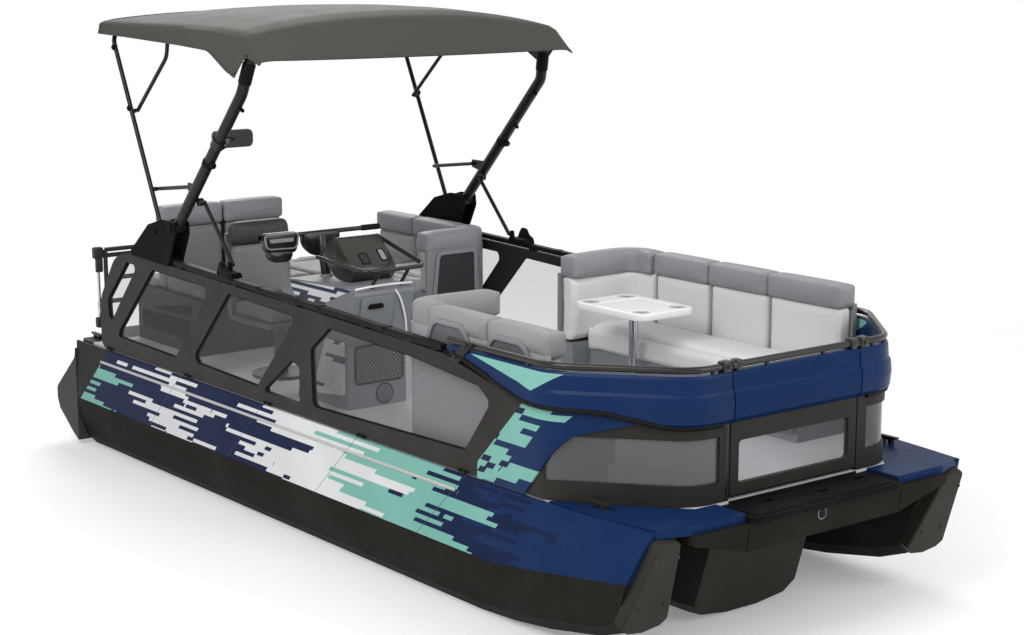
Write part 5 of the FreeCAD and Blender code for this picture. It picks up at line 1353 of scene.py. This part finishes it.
@dataclass
class SunTop:
    """The cloth top with its tubes' fittings."""

    rear: float = -2.372
    front: float = -0.29
    side: float = 1.2
    edge: float = 3.035
    crown: float = 3.15
    hem: float = 0.006
    leg: float = 0.036
    stud_plane: float = 1.214
    foot_plane: float = 1.1945
    stations: tuple[tuple[float, float, float, float], ...] = (
        (-2.372, 0.060, 0.0, 0.082), (-1.999, 0.015, 0.0, 0.092), (-1.289, 0.0, 0.0, 0.118),
        (-0.9, 0.004, 0.004, 0.135),
        (-0.592, 0.020, 0.016, 0.285), (-0.45, 0.062, 0.034, 0.110), (-0.29, 0.300, 0.175, 0.030),
    )

    def drops(self, x: float) -> tuple[float, float, float]:
        """Crown drop, edge drop and valance at a place along the boat.

        Args:
            x: The place.

        Returns:
            The three sizes there.
        """
        for (start, *first), (stop, *second) in zip(self.stations, self.stations[1:]):
            if x <= stop or stop == self.front:
                share = min(max((x - start) / (stop - start), 0.0), 1.0)
                return tuple(a + (b - a) * share for a, b in zip(first, second))
        return self.stations[-1][1:]

    def lift(self, x: float, run: float) -> tuple[float, float]:
        """Where the cloth is across the boat at one point of its run.

        Args:
            x: Place along the boat.
            run: From -1 at one hem to 1 at the other.

        Returns:
            Its y and z.
        """
        crown_drop, edge_drop, valance = self.drops(x)
        edge, crown = self.edge - edge_drop, self.crown - crown_drop
        way = 1 if run >= 0 else -1
        reach = abs(run)
        if reach > 0.8:
            share = (reach - 0.8) / 0.2
            bend = min(share * 4.0, 1.0)
            y = self.side - 0.022 * (1 - bend) ** 2 - 0.012 * math.sin(share * math.pi)
            return way * y, edge - 0.012 - (valance - 0.012) * share
        share = reach / 0.8
        y = (self.side - 0.02) * share
        z = edge + (crown - edge) * (1 - share ** 2.4)
        bows = 0.011 * math.sin(math.pi * min(max((x - self.rear) / 0.76, 0.0), 1.0)) ** 2
        return way * y, z - 0.006 - bows * (1 - share ** 4)

    def build(self) -> None:
        """Make the top and what holds it."""
        part = bmesh.new()
        bmesh.ops.create_grid(part, x_segments=56, y_segments=64, size=1.0)
        for vert in part.verts:
            x = self.rear + (self.front - self.rear) * (vert.co.x + 1) / 2
            y, z = self.lift(x, vert.co.y)
            vert.co = (x, y, z)
        bmesh.ops.recalc_face_normals(part, faces=part.faces[:])
        if sum(f.normal.z for f in part.faces) < 0:
            bmesh.ops.reverse_faces(part, faces=part.faces[:])
        bmesh.ops.solidify(part, geom=part.faces[:], thickness=0.004)
        sheet = Workpiece().take(part).done("canopy_cloth", Palette.cloth, "canopy_fabric", Body.TOP)
        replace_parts(sheet, "canopy")
        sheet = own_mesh(sheet)
        self.hems()
        self.clamps()

    def hems(self) -> None:
        """Sewn edges along the ends and sides of the top."""
        work = Workpiece()
        for x in (self.rear + 0.003, self.front - 0.004):
            work.pipe([(x, *self.lift(x, -1 + 2 * i / 24)) for i in range(25)], self.hem, 2)
        for run in (-1.0, 1.0):
            places = [self.rear + (self.front - self.rear) * i / 24 for i in range(25)]
            work.pipe([(x, *self.lift(x, run)) for x in places], self.hem, 2)
        made = work.done("canopy_hem", Palette.cloth, "canopy_fabric", Body.TOP)
        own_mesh(made)

    def clamps(self) -> None:
        """Clamps, knobs and sleeves on the tubes."""
        work, discs = Workpiece(), Workpiece()
        main, rear = Skin("main_hoop"), Skin("rear_hoop")
        for side in (-1, 1):
            at = main.met((1.0, side * 1.162, 2.19), (-1, 0, 0)) - Vector((0.047, 0.0, 0.0))
            along = Vector((0.652, 0.0, 0.758)) * 0.02
            work.rod(tuple(at - along), tuple(at + along), 0.041, sides=28, edge=0.004)
            for y, z, radius in ((1.162, 2.185, 0.02), (1.155, 2.31, 0.012), (1.14, 2.55, 0.012)):
                at = main.met((1.0, side * y, z), (-1, 0, 0))
                work.rod(
                    (at.x - 0.006, at.y, at.z), (at.x + 0.022, at.y, at.z - 0.012), radius, sides=16,
                    edge=0.003
                )
            ends = []
            for z in (2.705, 2.83):
                x = -0.57 + (z - 2.64) * 0.312
                ends.append((x, main.met((x, side * 3.0, z), (0, -side, 0)).y - side * self.leg, z))
            work.rod(*ends, 0.041, sides=28, edge=0.004)
            for x, z in ((-2.017, 2.47), (-2.207, 2.863)):
                discs.bolt(tuple(rear.met((x, side * 3.0, z), (0, -side, 0))), (0, side, 0), 0.014, 16)
        work.done("hoop_clamps", Palette.seal, "tube_black", Body.TOP)
        discs.done("hoop_discs", Palette.seal, "tube_black", Body.REAR)
        studs = Workpiece()
        for side in (-1, 1):
            for x, z, radius in ((-1.43, 1.735, 0.018), (-1.64, 1.69, 0.014), (-1.88, 1.525, 0.007)):
                studs.bolt((x, side * self.stud_plane, z), (0, side, 0), radius, 12)
        studs.done("gusset_bolts", Palette.seal, "tube_black")
        feet = Workpiece()
        outline = (
            (-0.875, 1.5), (-0.68, 1.486), (-0.69, 1.535), (-0.735, 1.555), (-0.765, 1.597), (-0.82, 1.6),
            (-0.85, 1.56)
        )
        for side in (-1, 1):
            feet.panel(
                [(x, side * self.foot_plane, z) for x, z in outline], (0, side * 0.007, 0), 0.012, 0.002
            )
            for x, z, radius in ((-0.792, 1.568, 0.016), (-0.845, 1.52, 0.008), (-0.715, 1.515, 0.008)):
                feet.bolt((x, side * (self.foot_plane + 0.007), z), (0, side, 0), radius, 12)
        feet.done("brace_foot_plates", Palette.seal, "tube_black")


@dataclass
class Hulls:
    """Outer hull trim."""

    rub_level: float = 0.672
    rub_start: float = -2.52
    rub_end: float = 1.64

    def build(self) -> None:
        """Make the rub strips, feet and nose bolts."""
        skin = Skin("topside_starboard")
        strip = Workpiece()
        steps = 40
        places = [self.rub_start + (self.rub_end - self.rub_start) * i / steps for i in range(steps + 1)]
        path = []
        for x in places:
            y = skin.met((x, -3.0, self.rub_level), (0, 1, 0)).y
            path.append((x, y + 0.0035, self.rub_level))
        strip.pipe(path, 0.0105, 3)
        strip.mirrored().done("rub_strips", Palette.strip, "topside_paint")
        self.feet()
        self.nose()

    def feet(self) -> None:
        """Small feet under the fences, with their bolts."""
        feet = Workpiece()
        for x in (-2.4, -1.3, -0.3, 0.72, 1.69):
            feet.block((x - 0.045, -1.2, 0.7785), (x + 0.045, -1.176, 0.79), 0.003)
            feet.bolt((x - 0.025, -1.2, 0.7845), (0, -1, 0), 0.006)
            feet.bolt((x + 0.025, -1.2, 0.7845), (0, -1, 0), 0.006)
        feet.mirrored().done("fence_feet", Palette.seal, "frame_black")

    def nose(self) -> None:
        """Bolts on the nose plates."""
        skin = Skin("nose_plates")
        bolts = Workpiece()
        for y in (-1.12, -0.96):
            for z in (0.36, 0.62):
                at = skin.met((4.0, y, z), (-1, 0, 0))
                bolts.bolt(at, (1, 0, 0.3), 0.007, 12)
        bolts.mirrored().done("nose_bolts", Palette.gloss, "gloss_black")


class Fences:
    """Edge beads, bolts and rail fittings of the side fences."""

    windows: tuple[str, ...] = ("side_windows_starboard", "side_windows_port")

    def build(self) -> None:
        """Make the black beads round the glass and the joints of the rails."""
        for node in self.windows:
            self.beads(node)
        joints = Workpiece()
        skin = Skin("side_rails")
        for x in (-0.4, 0.28, 0.95):
            z = skin.met((x, -1.17, 3.0), (0, 0, -1)).z
            joints.block((x - 0.04, -1.1965, z - 0.03), (x + 0.04, -1.148, z + 0.003), 0.004)
            joints.bolt((x, -1.1965, z - 0.014), (0, -1, 0), 0.006)
        joints.mirrored().done("rail_joints", Palette.rail, "tube_black")

    def beads(self, node: str) -> None:
        """A black bead round each pane of a node.

        Args:
            node: The windows' node.
        """
        part = bmesh.new()
        part.from_mesh(frame["nodes"][node].data)
        bmesh.ops.remove_doubles(part, verts=part.verts, dist=1e-5)
        side = -1 if node.endswith("starboard") else 1
        outer = [f for f in part.faces if f.normal.y * side < 0.9]
        bmesh.ops.delete(part, geom=outer, context="FACES")
        bmesh.ops.translate(part, vec=(0.0, side * 0.0006, 0.0), verts=part.verts)
        inset = bmesh.ops.inset_region(
            part, faces=part.faces[:], thickness=0.009, use_even_offset=True, use_boundary=True
        )
        keep = set(inset["faces"])
        bmesh.ops.delete(part, geom=[f for f in part.faces if f not in keep], context="FACES")
        grown = bmesh.ops.extrude_face_region(part, geom=part.faces[:])
        bmesh.ops.translate(part, vec=(0.0, side * 0.004, 0.0), verts=verts_of(grown))
        bmesh.ops.recalc_face_normals(part, faces=part.faces[:])
        Workpiece().take(part).done(f"{node}_beads", Palette.seal, "frame_black")


class Bow:
    """Bow wall and gate fittings, step and cleats."""

    def build(self) -> None:
        """Make what is fixed to the bow."""
        self.clamps()
        self.gate()
        self.step()

    def clamps(self) -> None:
        """Rail clamps, the lips under the mouldings, and the small parts round the gate."""
        rails = Workpiece()
        for y in (-0.5, 0.5):
            rails.block((2.908, y - 0.03, 1.441), (2.962, y + 0.03, 1.5), 0.01)
            rails.bolt((2.962, y, 1.47), (1, 0, 0), 0.008)
        rails.rod((2.94, -0.487, 0.782), (2.94, -0.487, 1.176), 0.012, edge=0.002)
        rails.done("rail_clamps", Palette.gloss, "tube_black")
        skin = Skin("bow_mouldings")
        lip = Workpiece()
        line = ((1.545, 1.428), (2.215, 1.262), (2.62, 1.249), (2.885, 1.178), (3.2, 1.178))
        path = []
        for x in (1.6, 1.7, 1.8, 1.9, 2.0, 2.1, 2.2, 2.3):
            path.append(self.edge_point(skin, line, (x, -3.0), (0.0, 1.0)))
        for i in range(1, 12):
            turn = math.radians(i * 7.6)
            path.append(
                self.edge_point(
                    skin, line, (2.3 + 3 * math.sin(turn), -0.56 - 3 * math.cos(turn)),
                    (-math.sin(turn), math.cos(turn))
                )
            )
        path.append(self.edge_point(skin, line, (5.0, -0.53), (-1.0, 0.0)))
        lip.pipe(path, 0.0125, 3)
        lip.mirrored().done("moulding_lips", Palette.rail, "black_moulding")
        outer = skin.met((1.66, -3.0, 1.42), (0, 1, 0)).y
        plate = Workpiece().panel(
            flat(Y, outer, ((1.585, 1.372), (1.66, 1.365), (1.8, 1.49), (1.722, 1.49))), (0, -0.008, 0),
            0.008, 0.002
        )
        for x, z in ((1.64, 1.39), (1.735, 1.47)):
            plate.bolt((x, outer - 0.008, z), (0, -1, 0), 0.007, 12)
        plate.mirrored().done("rail_end_plates", Palette.frame, "frame_black")
        sill = Workpiece().block((2.9505, -0.47, 0.7625), (2.9555, 0.47, 0.776), 0.001)
        sill.done("gate_sill", Palette.seal, "black_moulding")
        seal = Workpiece().block((2.905, -0.458, 0.7845), (2.935, 0.45, 0.8005), 0.003)
        seal.done("gate_seal", Palette.seal, "black_moulding", Body.GATE)
        beam = Workpiece()
        front = Skin("bow_beam")
        at = front.met((5.0, -0.042, 0.69), (-1, 0, 0))
        beam.rod((at.x - 0.004, at.y, at.z), (at.x + 0.005, at.y, at.z), 0.026, sides=32, edge=0.002)
        beam.done("bow_boss", Palette.rail, "black_moulding")
        ring = Workpiece().rod(
            (at.x - 0.004, at.y, at.z), (at.x + 0.003, at.y, at.z), 0.032, sides=32, edge=0.002
        )
        ring.done("bow_boss_ring", Palette.mill, "bright_metal")
        seams = Workpiece()
        for y in (-0.56, 0.56):
            path = [front.met((5.0, y, z), (-1, 0, 0)) for z in (0.595, 0.625, 0.655, 0.685, 0.715)]
            seams.pipe([tuple(at) for at in path], 0.0022, 1)
        seams.done("beam_seams", Palette.shade_black, "gloss_black")

    def edge_point(
        self, skin: Skin, line: Sequence[tuple[float, float]], start: tuple[float, float],
        way: tuple[float, float]
    ) -> Point:
        """A point on the moulding's face just over its lower edge.

        Args:
            skin: The moulding's surface.
            line: The lower edge seen from the side, in x and z.
            start, way: Where to look from and which way, in x and y.

        Returns:
            The point.
        """
        z = 1.3
        for _ in range(3):
            at = skin.met((*start, z), (*way, 0.0))
            for (x0, z0), (x1, z1) in zip(line, line[1:]):
                if at.x >= x0:
                    z = z0 + (z1 - z0) * min((at.x - x0) / (x1 - x0), 1.0) + 0.006
        at = skin.met((*start, z), (*way, 0.0))
        return (at.x, at.y, z - 0.004)

    def gate(self) -> None:
        """Latch and rail clamps of the gate."""
        latch = Workpiece().block((2.884, -0.455, 1.09), (2.91, -0.40, 1.15), 0.005)
        latch.rod((2.9, -0.43, 1.12), (2.87, -0.43, 1.12), 0.01)
        latch.pipe([(2.872, -0.43, 1.12), (2.862, -0.40, 1.12), (2.862, -0.34, 1.118)], 0.006)
        latch.done("gate_latch", Palette.chrome, "bright_metal", Body.GATE)
        clamps = Workpiece()
        for y in (-0.42, 0.42):
            clamps.block((2.908, y - 0.022, 1.441), (2.962, y + 0.022, 1.5), 0.01)
        clamps.done("gate_rail_clamps", Palette.gloss, "tube_black", Body.GATE)

    def step(self) -> None:
        """Non-slip pad on the bow step, and dark slots of painted shade where it has recesses."""
        pad = Workpiece().panel(
            flat(Z, 0.7625, ((2.975, -0.53), (3.19, -0.5), (3.19, 0.5), (2.975, 0.53))), (0, 0, 0.003), 0.03,
            0.001
        )
        pad.done("bow_step_pad", Palette.tread, "black_moulding")
        # The slots are thin raised patches in shadow black: painted shade of the recesses.
        slots = Workpiece()
        for x, y in ((3.035, -0.28), (3.083, 0.076), (3.032, 0.415)):
            slots.panel(
                flat(Z, 0.7657, rect((x - 0.014, x + 0.014), (y - 0.03, y + 0.03))), (0, 0, 0.0012), 0.008
            )
        slots.done("bow_step_slots", Palette.shade_black, "black_moulding")


class Cockpit:
    """Table, console, handlebar and seat shells."""

    post: tuple[float, float] = (1.16, 0.48)
    front = 0.1515
    speaker: Point = (0.1515, -0.64, 0.853)

    def build(self) -> None:
        """Make the fittings inside the fences."""
        self.table()
        self.console()
        self.hood()
        self.handlebar()
        self.grips()
        self.stowage()

    def table(self) -> None:
        """White table top with four cup holders."""
        low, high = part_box("table_top")
        top = Workpiece()
        corners = [
            (low.x, low.y, low.z), (high.x, low.y, low.z), (high.x, high.y, low.z), (low.x, high.y, low.z)
        ]
        top.panel(corners, (0, 0, high.z - low.z), 0.07, 0.008)
        made = top.done("table_slab", Palette.white, "table_white")
        cutter = Workpiece()
        rings = Workpiece()
        cups = Workpiece()
        places = [(x, y) for x in (low.x + 0.082, high.x - 0.082) for y in (low.y + 0.082, high.y - 0.082)]
        for x, y in places:
            cutter.rod((x, y, high.z - 0.005), (x, y, high.z + 0.02), 0.054, 0.056, 32)
            rings.rod((x, y, high.z - 0.0052), (x, y, high.z - 0.0035), 0.0535, sides=32)
            cups.block((x - 0.026, y - 0.006, high.z - 0.0036), (x + 0.026, y + 0.006, high.z - 0.003), 0.0)
        rings.rod((*self.post, low.z - 0.02), (*self.post, low.z), 0.036, 0.05, 32)
        cutter.panel(
            flat(Z, high.z - 0.003, rect((low.x + 0.15, high.x - 0.15), (low.y + 0.05, high.y - 0.05))),
            (0, 0, 0.02), 0.05,
        )
        tool = cutter.done("cup_cutter", Palette.white)
        cut = made.modifiers.new("cups", "BOOLEAN")
        cut.object = tool
        cut.solver = "EXACT"
        mesh = bpy.data.meshes.new_from_object(settled(made))
        made.modifiers.remove(cut)
        made.data = mesh
        mesh.shade_smooth()
        mesh.set_sharp_from_angle(angle=math.radians(30))
        bpy.data.objects.remove(tool)
        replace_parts(made, "table_top")
        rings.done("cup_floors", Palette.cup, "table_white")
        cups.done("cup_slots", Palette.shell_dark, "table_white")
        collar = Workpiece().rod((*self.post, 0.7785), (*self.post, 0.83), 0.045, 0.036, 32, 0.003)
        collar.done("table_collar", Palette.seal, "bright_metal")

    def console(self) -> None:
        """Pocket, speaker, glovebox door, fin and printed panels of the console."""
        pocket = Workpiece().panel(
            flat(X, self.front, rect((-0.855, -0.5), (0.925, 1.165))), (0.007, 0, 0), 0.035, 0.002, hole=0.011
        )
        pocket.done("pocket_frame", Palette.seal, "console_plastic")
        net = Workpiece().panel(
            flat(X, self.front, rect((-0.85, -0.505), (0.93, 1.16))), (0.003, 0, 0), 0.033
        )
        net.done("pocket_net", Palette.net, "console_plastic")
        x, y, z = self.speaker
        speaker = Workpiece().rod((x - 0.001, y, z), (x + 0.005, y, z), 0.058, sides=40, edge=0.002)
        speaker.done("speaker_grille", Palette.grille, "console_plastic")
        ring = Workpiece().pipe(
            [
                (
                    x + 0.003, y + 0.061 * math.cos(i * math.pi / 8), z + 0.061 * math.sin(i * math.pi / 8)
                ) for i in range(17)
            ],
            0.004
        )
        ring.done("speaker_ring", Palette.seal, "console_plastic")
        door = Workpiece().panel(
            [(0.208, -0.86, 1.24), (0.208, -0.64, 1.24), (0.246, -0.62, 1.475), (0.246, -0.86, 1.475)],
            (0.007, 0, -0.001), 0.03, 0.003
        )
        door.done("glovebox_door", Palette.console, "console_plastic")
        notch = Workpiece().panel(
            [(0.2475, -0.82, 1.4), (0.2475, -0.7, 1.4), (0.2525, -0.71, 1.432), (0.2525, -0.81, 1.432)],
            (0.003, 0, 0), 0.012, 0.001
        )
        notch.done("glovebox_notch", Palette.seal, "console_plastic")
        fin = Workpiece().pipe(
            [
                (0.244, -0.615, 1.5), (0.25, -0.585, 1.46), (0.236, -0.545, 1.36), (0.214, -0.515, 1.27),
                (0.19, -0.5, 1.19)
            ],
            0.0065
        )
        fin.pipe(
            [(0.235, -0.895, 1.525), (0.243, -0.8, 1.536), (0.243, -0.6, 1.537), (0.235, -0.487, 1.53)], 0.007
        )
        fin.done("console_fin", Palette.white, "console_plastic")
        plates = Workpiece().panel(
            flat(Y, -0.901, ((-0.255, 0.825), (0.12, 0.865), (0.12, 1.2), (-0.09, 1.19))), (0, -0.0015, 0),
            0.03
        )
        plates.panel(
            flat(Y, -0.901, ((-0.43, 1.4), (-0.13, 1.385), (0.215, 1.522), (-0.49, 1.492))), (0, -0.0015, 0),
            0.03
        )
        plates.done("console_print", Palette.stripes, "console_plastic")

    def hood(self) -> None:
        """Smooth hood over the dash, with a dark screen and a pale lens on its sloping face."""
        low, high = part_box("dash_hood")
        profile = (
            (-0.148, 1.536), (-0.286, 1.652), (-0.238, 1.742), (-0.135, 1.79), (0.048, 1.62), (0.055, 1.577),
            (0.0, 1.52)
        )
        cover = Workpiece().panel(
            [(x, low.y, z) for x, z in profile], (0.0, high.y - low.y, 0.0), 0.022, 0.018
        )
        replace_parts(cover.done("hood_cover", Palette.hood, "dash_black"), "dash_hood")
        out = Vector((0.68, 0.0, 0.733))
        foot, head = Vector((0.048, 0.0, 1.62)), Vector((-0.135, 0.0, 1.79))
        for name, near, far, start, stop, finish, hole in (
            ("dash_slot_rim", -0.705, -0.64, 0.07, 0.42, Palette.seal, 0.005),
            ("dash_slot", -0.698, -0.647, 0.1, 0.39, Palette.gloss, 0.0),
            ("dash_lens_rim", -0.56, -0.51, 0.12, 0.5, Palette.seal, 0.005),
            ("dash_lens", -0.552, -0.518, 0.15, 0.47, Palette.head, 0.0),
        ):
            lift = 0.0005
            base, top = foot.lerp(head, start) + out * lift, foot.lerp(head, stop) + out * lift
            plate = Workpiece().panel(
                [(base.x, near, base.z), (base.x, far, base.z), (top.x, far, top.z), (top.x, near, top.z)],
                out * 0.0025, 0.012, 0.0, hole
            )
            plate.done(name, finish, "dash_black")

    def handlebar(self) -> None:
        """Steering bar with ribbed grips, a rounded middle body and a control pod."""
        bar = Workpiece().rod((-0.455, -1.128, 1.775), (-0.455, -0.252, 1.775), 0.0145, sides=24)
        bar.rod((-0.4, -0.69, 1.516), (-0.452, -0.69, 1.76), 0.03, sides=24, edge=0.003)
        bar.panel(
            flat(
                X, -0.43,
                ((-0.83, 1.785), (-0.55, 1.785), (-0.565, 1.69), (-0.64, 1.63), (-0.75, 1.63), (-0.83, 1.7))
            ),
            (-0.06, 0, 0), 0.035, 0.02
        )
        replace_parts(bar.done("bar_body", Palette.gloss, "dash_black", Body.BAR), "handlebar")
        pod = Workpiece().panel(
            flat(X, -0.425, ((-1.12, 1.8), (-0.865, 1.8), (-0.875, 1.665), (-1.1, 1.68))), (-0.06, 0, 0),
            0.035, 0.018
        )
        pod.panel(
            flat(X, -0.42, ((-1.09, 1.69), (-0.9, 1.68), (-0.93, 1.612), (-1.06, 1.62))), (-0.07, 0, 0), 0.03,
            0.022
        )
        pod.done("control_pod_body", Palette.gloss, "dash_black", Body.BAR)
        trim = Workpiece().panel(
            flat(X, -0.4265, ((-1.118, 1.797), (-0.867, 1.797), (-0.878, 1.695), (-1.1, 1.702))),
            (0.008, 0, 0), 0.03, 0.0, hole=0.007
        )
        trim.panel(
            flat(X, -0.4245, ((-1.08, 1.765), (-0.905, 1.765), (-0.91, 1.74), (-1.07, 1.742))), (0.003, 0, 0),
            0.008
        )
        trim.done("pod_trim", Palette.shell, "dash_black", Body.BAR)
        grips = Workpiece()
        for side in (-1, 1):
            start, stop = -0.69 + side * 0.3, -0.69 + side * 0.438
            grips.rod((-0.455, start, 1.775), (-0.455, stop, 1.775), 0.0175, sides=24, edge=0.003)
            for i in range(11):
                y = start + side * (0.012 + i * 0.011)
                grips.rod((-0.455, y, 1.775), (-0.455, y + 0.005, 1.775), 0.019, sides=20)
        grips.done("grip_sleeves", Palette.rubber, "grip_rubber", Body.BAR)

    def grips(self) -> None:
        """Moulded grips on the outside of the bow seat and the framed end of the aft lounge, with painted
        shade in their hollows.
        """
        frames = Workpiece()
        hollows = Workpiece()
        for outline in (
            ((1.235, 1.38), (1.7, 1.38), (1.59, 1.55), (1.318, 1.55)),
            ((1.755, 1.38), (2.215, 1.38), (2.105, 1.54), (1.84, 1.54)),
        ):
            corners = [(x, -1.1075, z) for x, z in outline]
            frames.panel(corners, (0, -0.014, 0), 0.045, 0.004, hole=0.026)
            # The plate inside each grip frame is a darker shell: painted shade of the hollow.
            hollows.panel(corners, (0, -0.003, 0), 0.045)
        frames.done("seat_grips", Palette.shell, "seat_plastic")
        hollows.done("seat_grip_hollow_shade", Palette.shell_dark, "seat_plastic")
        end = Workpiece()
        corners = [
            (-1.0495, 0.575, 1.0), (-1.0495, 0.985, 1.0), (-1.0495, 0.975, 1.455), (-1.0495, 0.625, 1.455)
        ]
        end.panel(corners, (0.014, 0, 0), 0.05, 0.005, hole=0.03)
        end.done("lounge_end_frame", Palette.shell, "seat_plastic")
        # The plate inside the end frame is charcoal: painted shade of the hollow.
        hollow = Workpiece().panel(corners, (0.002, 0, 0), 0.05)
        hollow.done("lounge_end_hollow_shade", Palette.shell_deep, "seat_plastic")

    def stowage(self) -> None:
        """The ladder's bracket and strut, and the locker in the end of the stern bench: its rim and a black
        panel of painted shade in its mouth.
        """
        ladder = Workpiece().block((-3.135, -0.95, 1.3), (-3.085, -0.876, 1.385), 0.012)
        ladder.block((-3.12, -0.935, 1.2), (-3.09, -0.88, 1.31), 0.01)
        ladder.block((-3.13, -0.945, 0.794), (-3.08, -0.885, 0.87), 0.01)
        ladder.done("ladder_bracket", Palette.moulded, "black_moulding")
        strut = Workpiece().rod((-3.105, -0.915, 0.98), (-3.105, -0.915, 1.21), 0.011, sides=16, edge=0.002)
        strut.rod((-3.105, -0.915, 0.86), (-3.105, -0.915, 0.985), 0.016, sides=16, edge=0.002)
        strut.done("ladder_strut", Palette.chrome, "bright_metal")
        # A black panel just inside the locker's mouth is painted shade standing in for its dark inside.
        locker = Workpiece().panel(
            flat(Y, -0.815, ((-2.61, 0.865), (-2.0, 0.865), (-1.87, 1.015), (-2.61, 1.0))), (0, 0.01, 0), 0.04
        )
        locker.done("locker_shadow", Palette.shade_black, "seat_plastic")
        rim = Workpiece().panel(
            flat(Y, -0.8152, ((-2.64, 0.84), (-1.97, 0.84), (-1.83, 1.035), (-2.64, 1.02))), (0, -0.006, 0),
            0.05, 0.002, hole=0.024
        )
        rim.done("locker_rim", Palette.shell_deep, "seat_plastic")


CARRIED = (
    (Palette.hull, "hull_starboard hull_port bow_beam"),
    # Nose plates and centre hull take the lighter copy of the hull finish: painted light on faces turned from
    # the lamps.
    (Palette.nose, "hull_center nose_plates"),
    (Palette.topside, "topside_starboard topside_port"),
    (Palette.moulded, "stern_caps swim_platform ladder"),
    (Palette.deck, "deck"),
    (Palette.mill, "cross_beams"),
    (Palette.near_black, "bow_deck gussets brace_feet"),
    (Palette.paint, "bow_corners gate_moulding"),
    (Palette.frame, "fence_starboard fence_port bow_frame_starboard bow_frame_port gate_posts gate_frame"),
    (Palette.glass, "side_windows_starboard side_windows_port"),
    (Palette.rail, "side_rails"),
    (Palette.bow_glass, "bow_windows"),
    (Palette.quarter, "quarter_panels"),
    (Palette.moulding, "bow_mouldings"),
    (Palette.gloss, "bow_rails gate_rail mirror console_rail"),
    (Palette.gate_glass, "gate_window"),
    (Palette.tube, "main_hoop rear_hoop middle_hoop front_braces rear_braces cleats"),
    (Palette.console, "bow_lounge_base console"),
    (Palette.shell_pale, "bow_seat_base"),
    (Palette.shell, "aft_lounge_base"),
    (Palette.shell_deep, "stern_bench_base"),
    (Palette.chrome, "table_post"),
    (Palette.shell_dark, "helm_post helm_seat"),
    (Palette.alloy, "jet_pump jet_nozzle"),
)


def main() -> None:
    """Build the whole picture and report each piece."""
    logging.basicConfig(level=logging.INFO, format="%(name)s: %(message)s")
    Studio().build()
    paint(CARRIED)
    Hulls().build()
    Fences().build()
    Bow().build()
    Cockpit().build()
    SunTop().build()
    Seating().build()
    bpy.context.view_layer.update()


if __name__ == "__main__":
    main()
